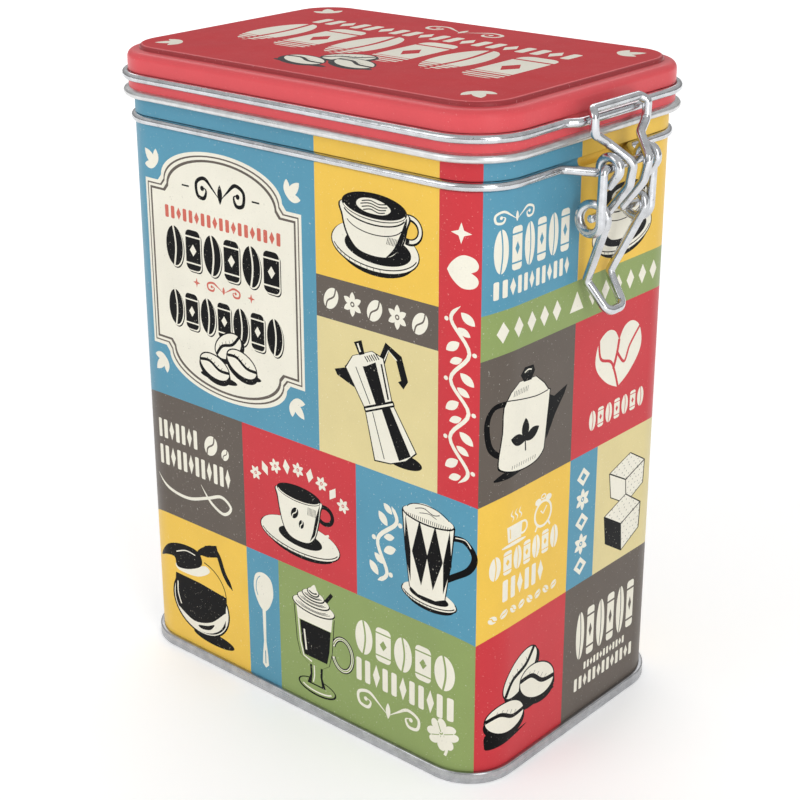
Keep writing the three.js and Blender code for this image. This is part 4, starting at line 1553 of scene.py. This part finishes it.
# Distance from the middle in metres and the floor's own light there, near and far
FLOOR_GLOW = (0.25, 1.6, 0.28, 0.62)
FLOOR_HALF = 12
FLOOR_TONE = (0.93, 0.93, 0.93, 1)
WHITE = (1, 1, 1, 1)

# Each light's place and size in metres, and its power in watts
LIT_POINT = (0, 0, 0.08)
LIGHTS = (
    ("key", (-0.35, -0.95, 0.6), (0.7, 0.7), 2.5),
    ("side", (0.9, -0.42, 0.4), (0.35, 0.9), 3.1),
    ("back", (-0.77, 0.83, 1.2), (1.5, 0.9), 6.0),
)


def camera():
    azimuth, pitch, roll = (math.radians(a) for a in (CAMERA_AZIMUTH, CAMERA_PITCH, CAMERA_ROLL))
    flat = Vector((-math.sin(azimuth), math.cos(azimuth), 0))
    ahead = flat * math.cos(pitch) - Vector((0, 0, math.sin(pitch)))
    right = ahead.cross(Vector((0, 0, 1))).normalized()
    up = right.cross(ahead)
    rolled_right = right * math.cos(roll) + up * math.sin(roll)
    rolled_up = up * math.cos(roll) - right * math.sin(roll)
    data = bpy.data.cameras.new("camera")
    data.lens = CAMERA_LENS
    data.sensor_width = CAMERA_SENSOR
    data.shift_x, data.shift_y = CAMERA_SHIFT
    data.clip_start = 0.01
    viewer = in_scene("camera", data)
    turn = Matrix((rolled_right, rolled_up, -ahead)).transposed()
    viewer.matrix_world = Matrix.Translation(in_row(*CAMERA_PLACE)) @ turn.to_4x4()
    bpy.context.scene.camera = viewer


def area_light(name, place, size, power):
    data = bpy.data.lights.new(name, "AREA")
    data.shape = "RECTANGLE"
    data.size, data.size_y = size
    data.energy = power
    light = in_scene(name, data)
    light.location = place
    light.rotation_euler = (Vector(LIT_POINT) - light.location).to_track_quat("-Z", "Y").to_euler()


def studio_world():
    """Soft light from all round, dimmer towards the horizon so that bright metal has contrast.
    Seen directly it is plain and pale."""
    world = bpy.data.worlds.new("studio")
    bpy.context.scene.world = world
    nodes = Nodes(world, "Generated")
    strength = nodes.spread(nodes.height(), *WORLD_GRADIENT)
    seen = nodes.add("ShaderNodeLightPath", "Is Camera Ray")
    shown = nodes.add("ShaderNodeMix", "Result", {"B": BACKDROP}, {"Factor": seen, "A": strength})
    background = nodes.tree.nodes["Background"]
    background.inputs["Color"].default_value = WHITE
    nodes.link(shown, background.inputs["Strength"])


def studio_floor():
    shape = bmesh.new()
    bmesh.ops.create_grid(shape, x_segments=1, y_segments=1, size=FLOOR_HALF)
    floor = in_scene("floor", mesh_of(shape, "floor"))
    finish = Finish("pale_floor")
    for socket, value in (("Base Color", FLOOR_TONE), ("Roughness", 0.6), ("Emission Color", WHITE)):
        finish.set(socket, value)
    reach = finish.tree.nodes.new("ShaderNodeVectorMath")
    reach.operation = "LENGTH"
    finish.link(finish.place, reach.inputs[0])
    finish.feed(Emission_Strength=finish.spread(reach.outputs["Value"], *FLOOR_GLOW))
    floor.data.materials.append(finish.material)


camera()
studio_world()
studio_floor()
for light in LIGHTS:
    area_light(*light)
bpy.context.scene.view_settings.view_transform = "Standard"
printed_wall()
body_sheets()
base_sheets()
printed_lid_panel()
lid_sheets()
gasket()
body_wire()
lid_wire()
clasp_link()
clasp_lever()
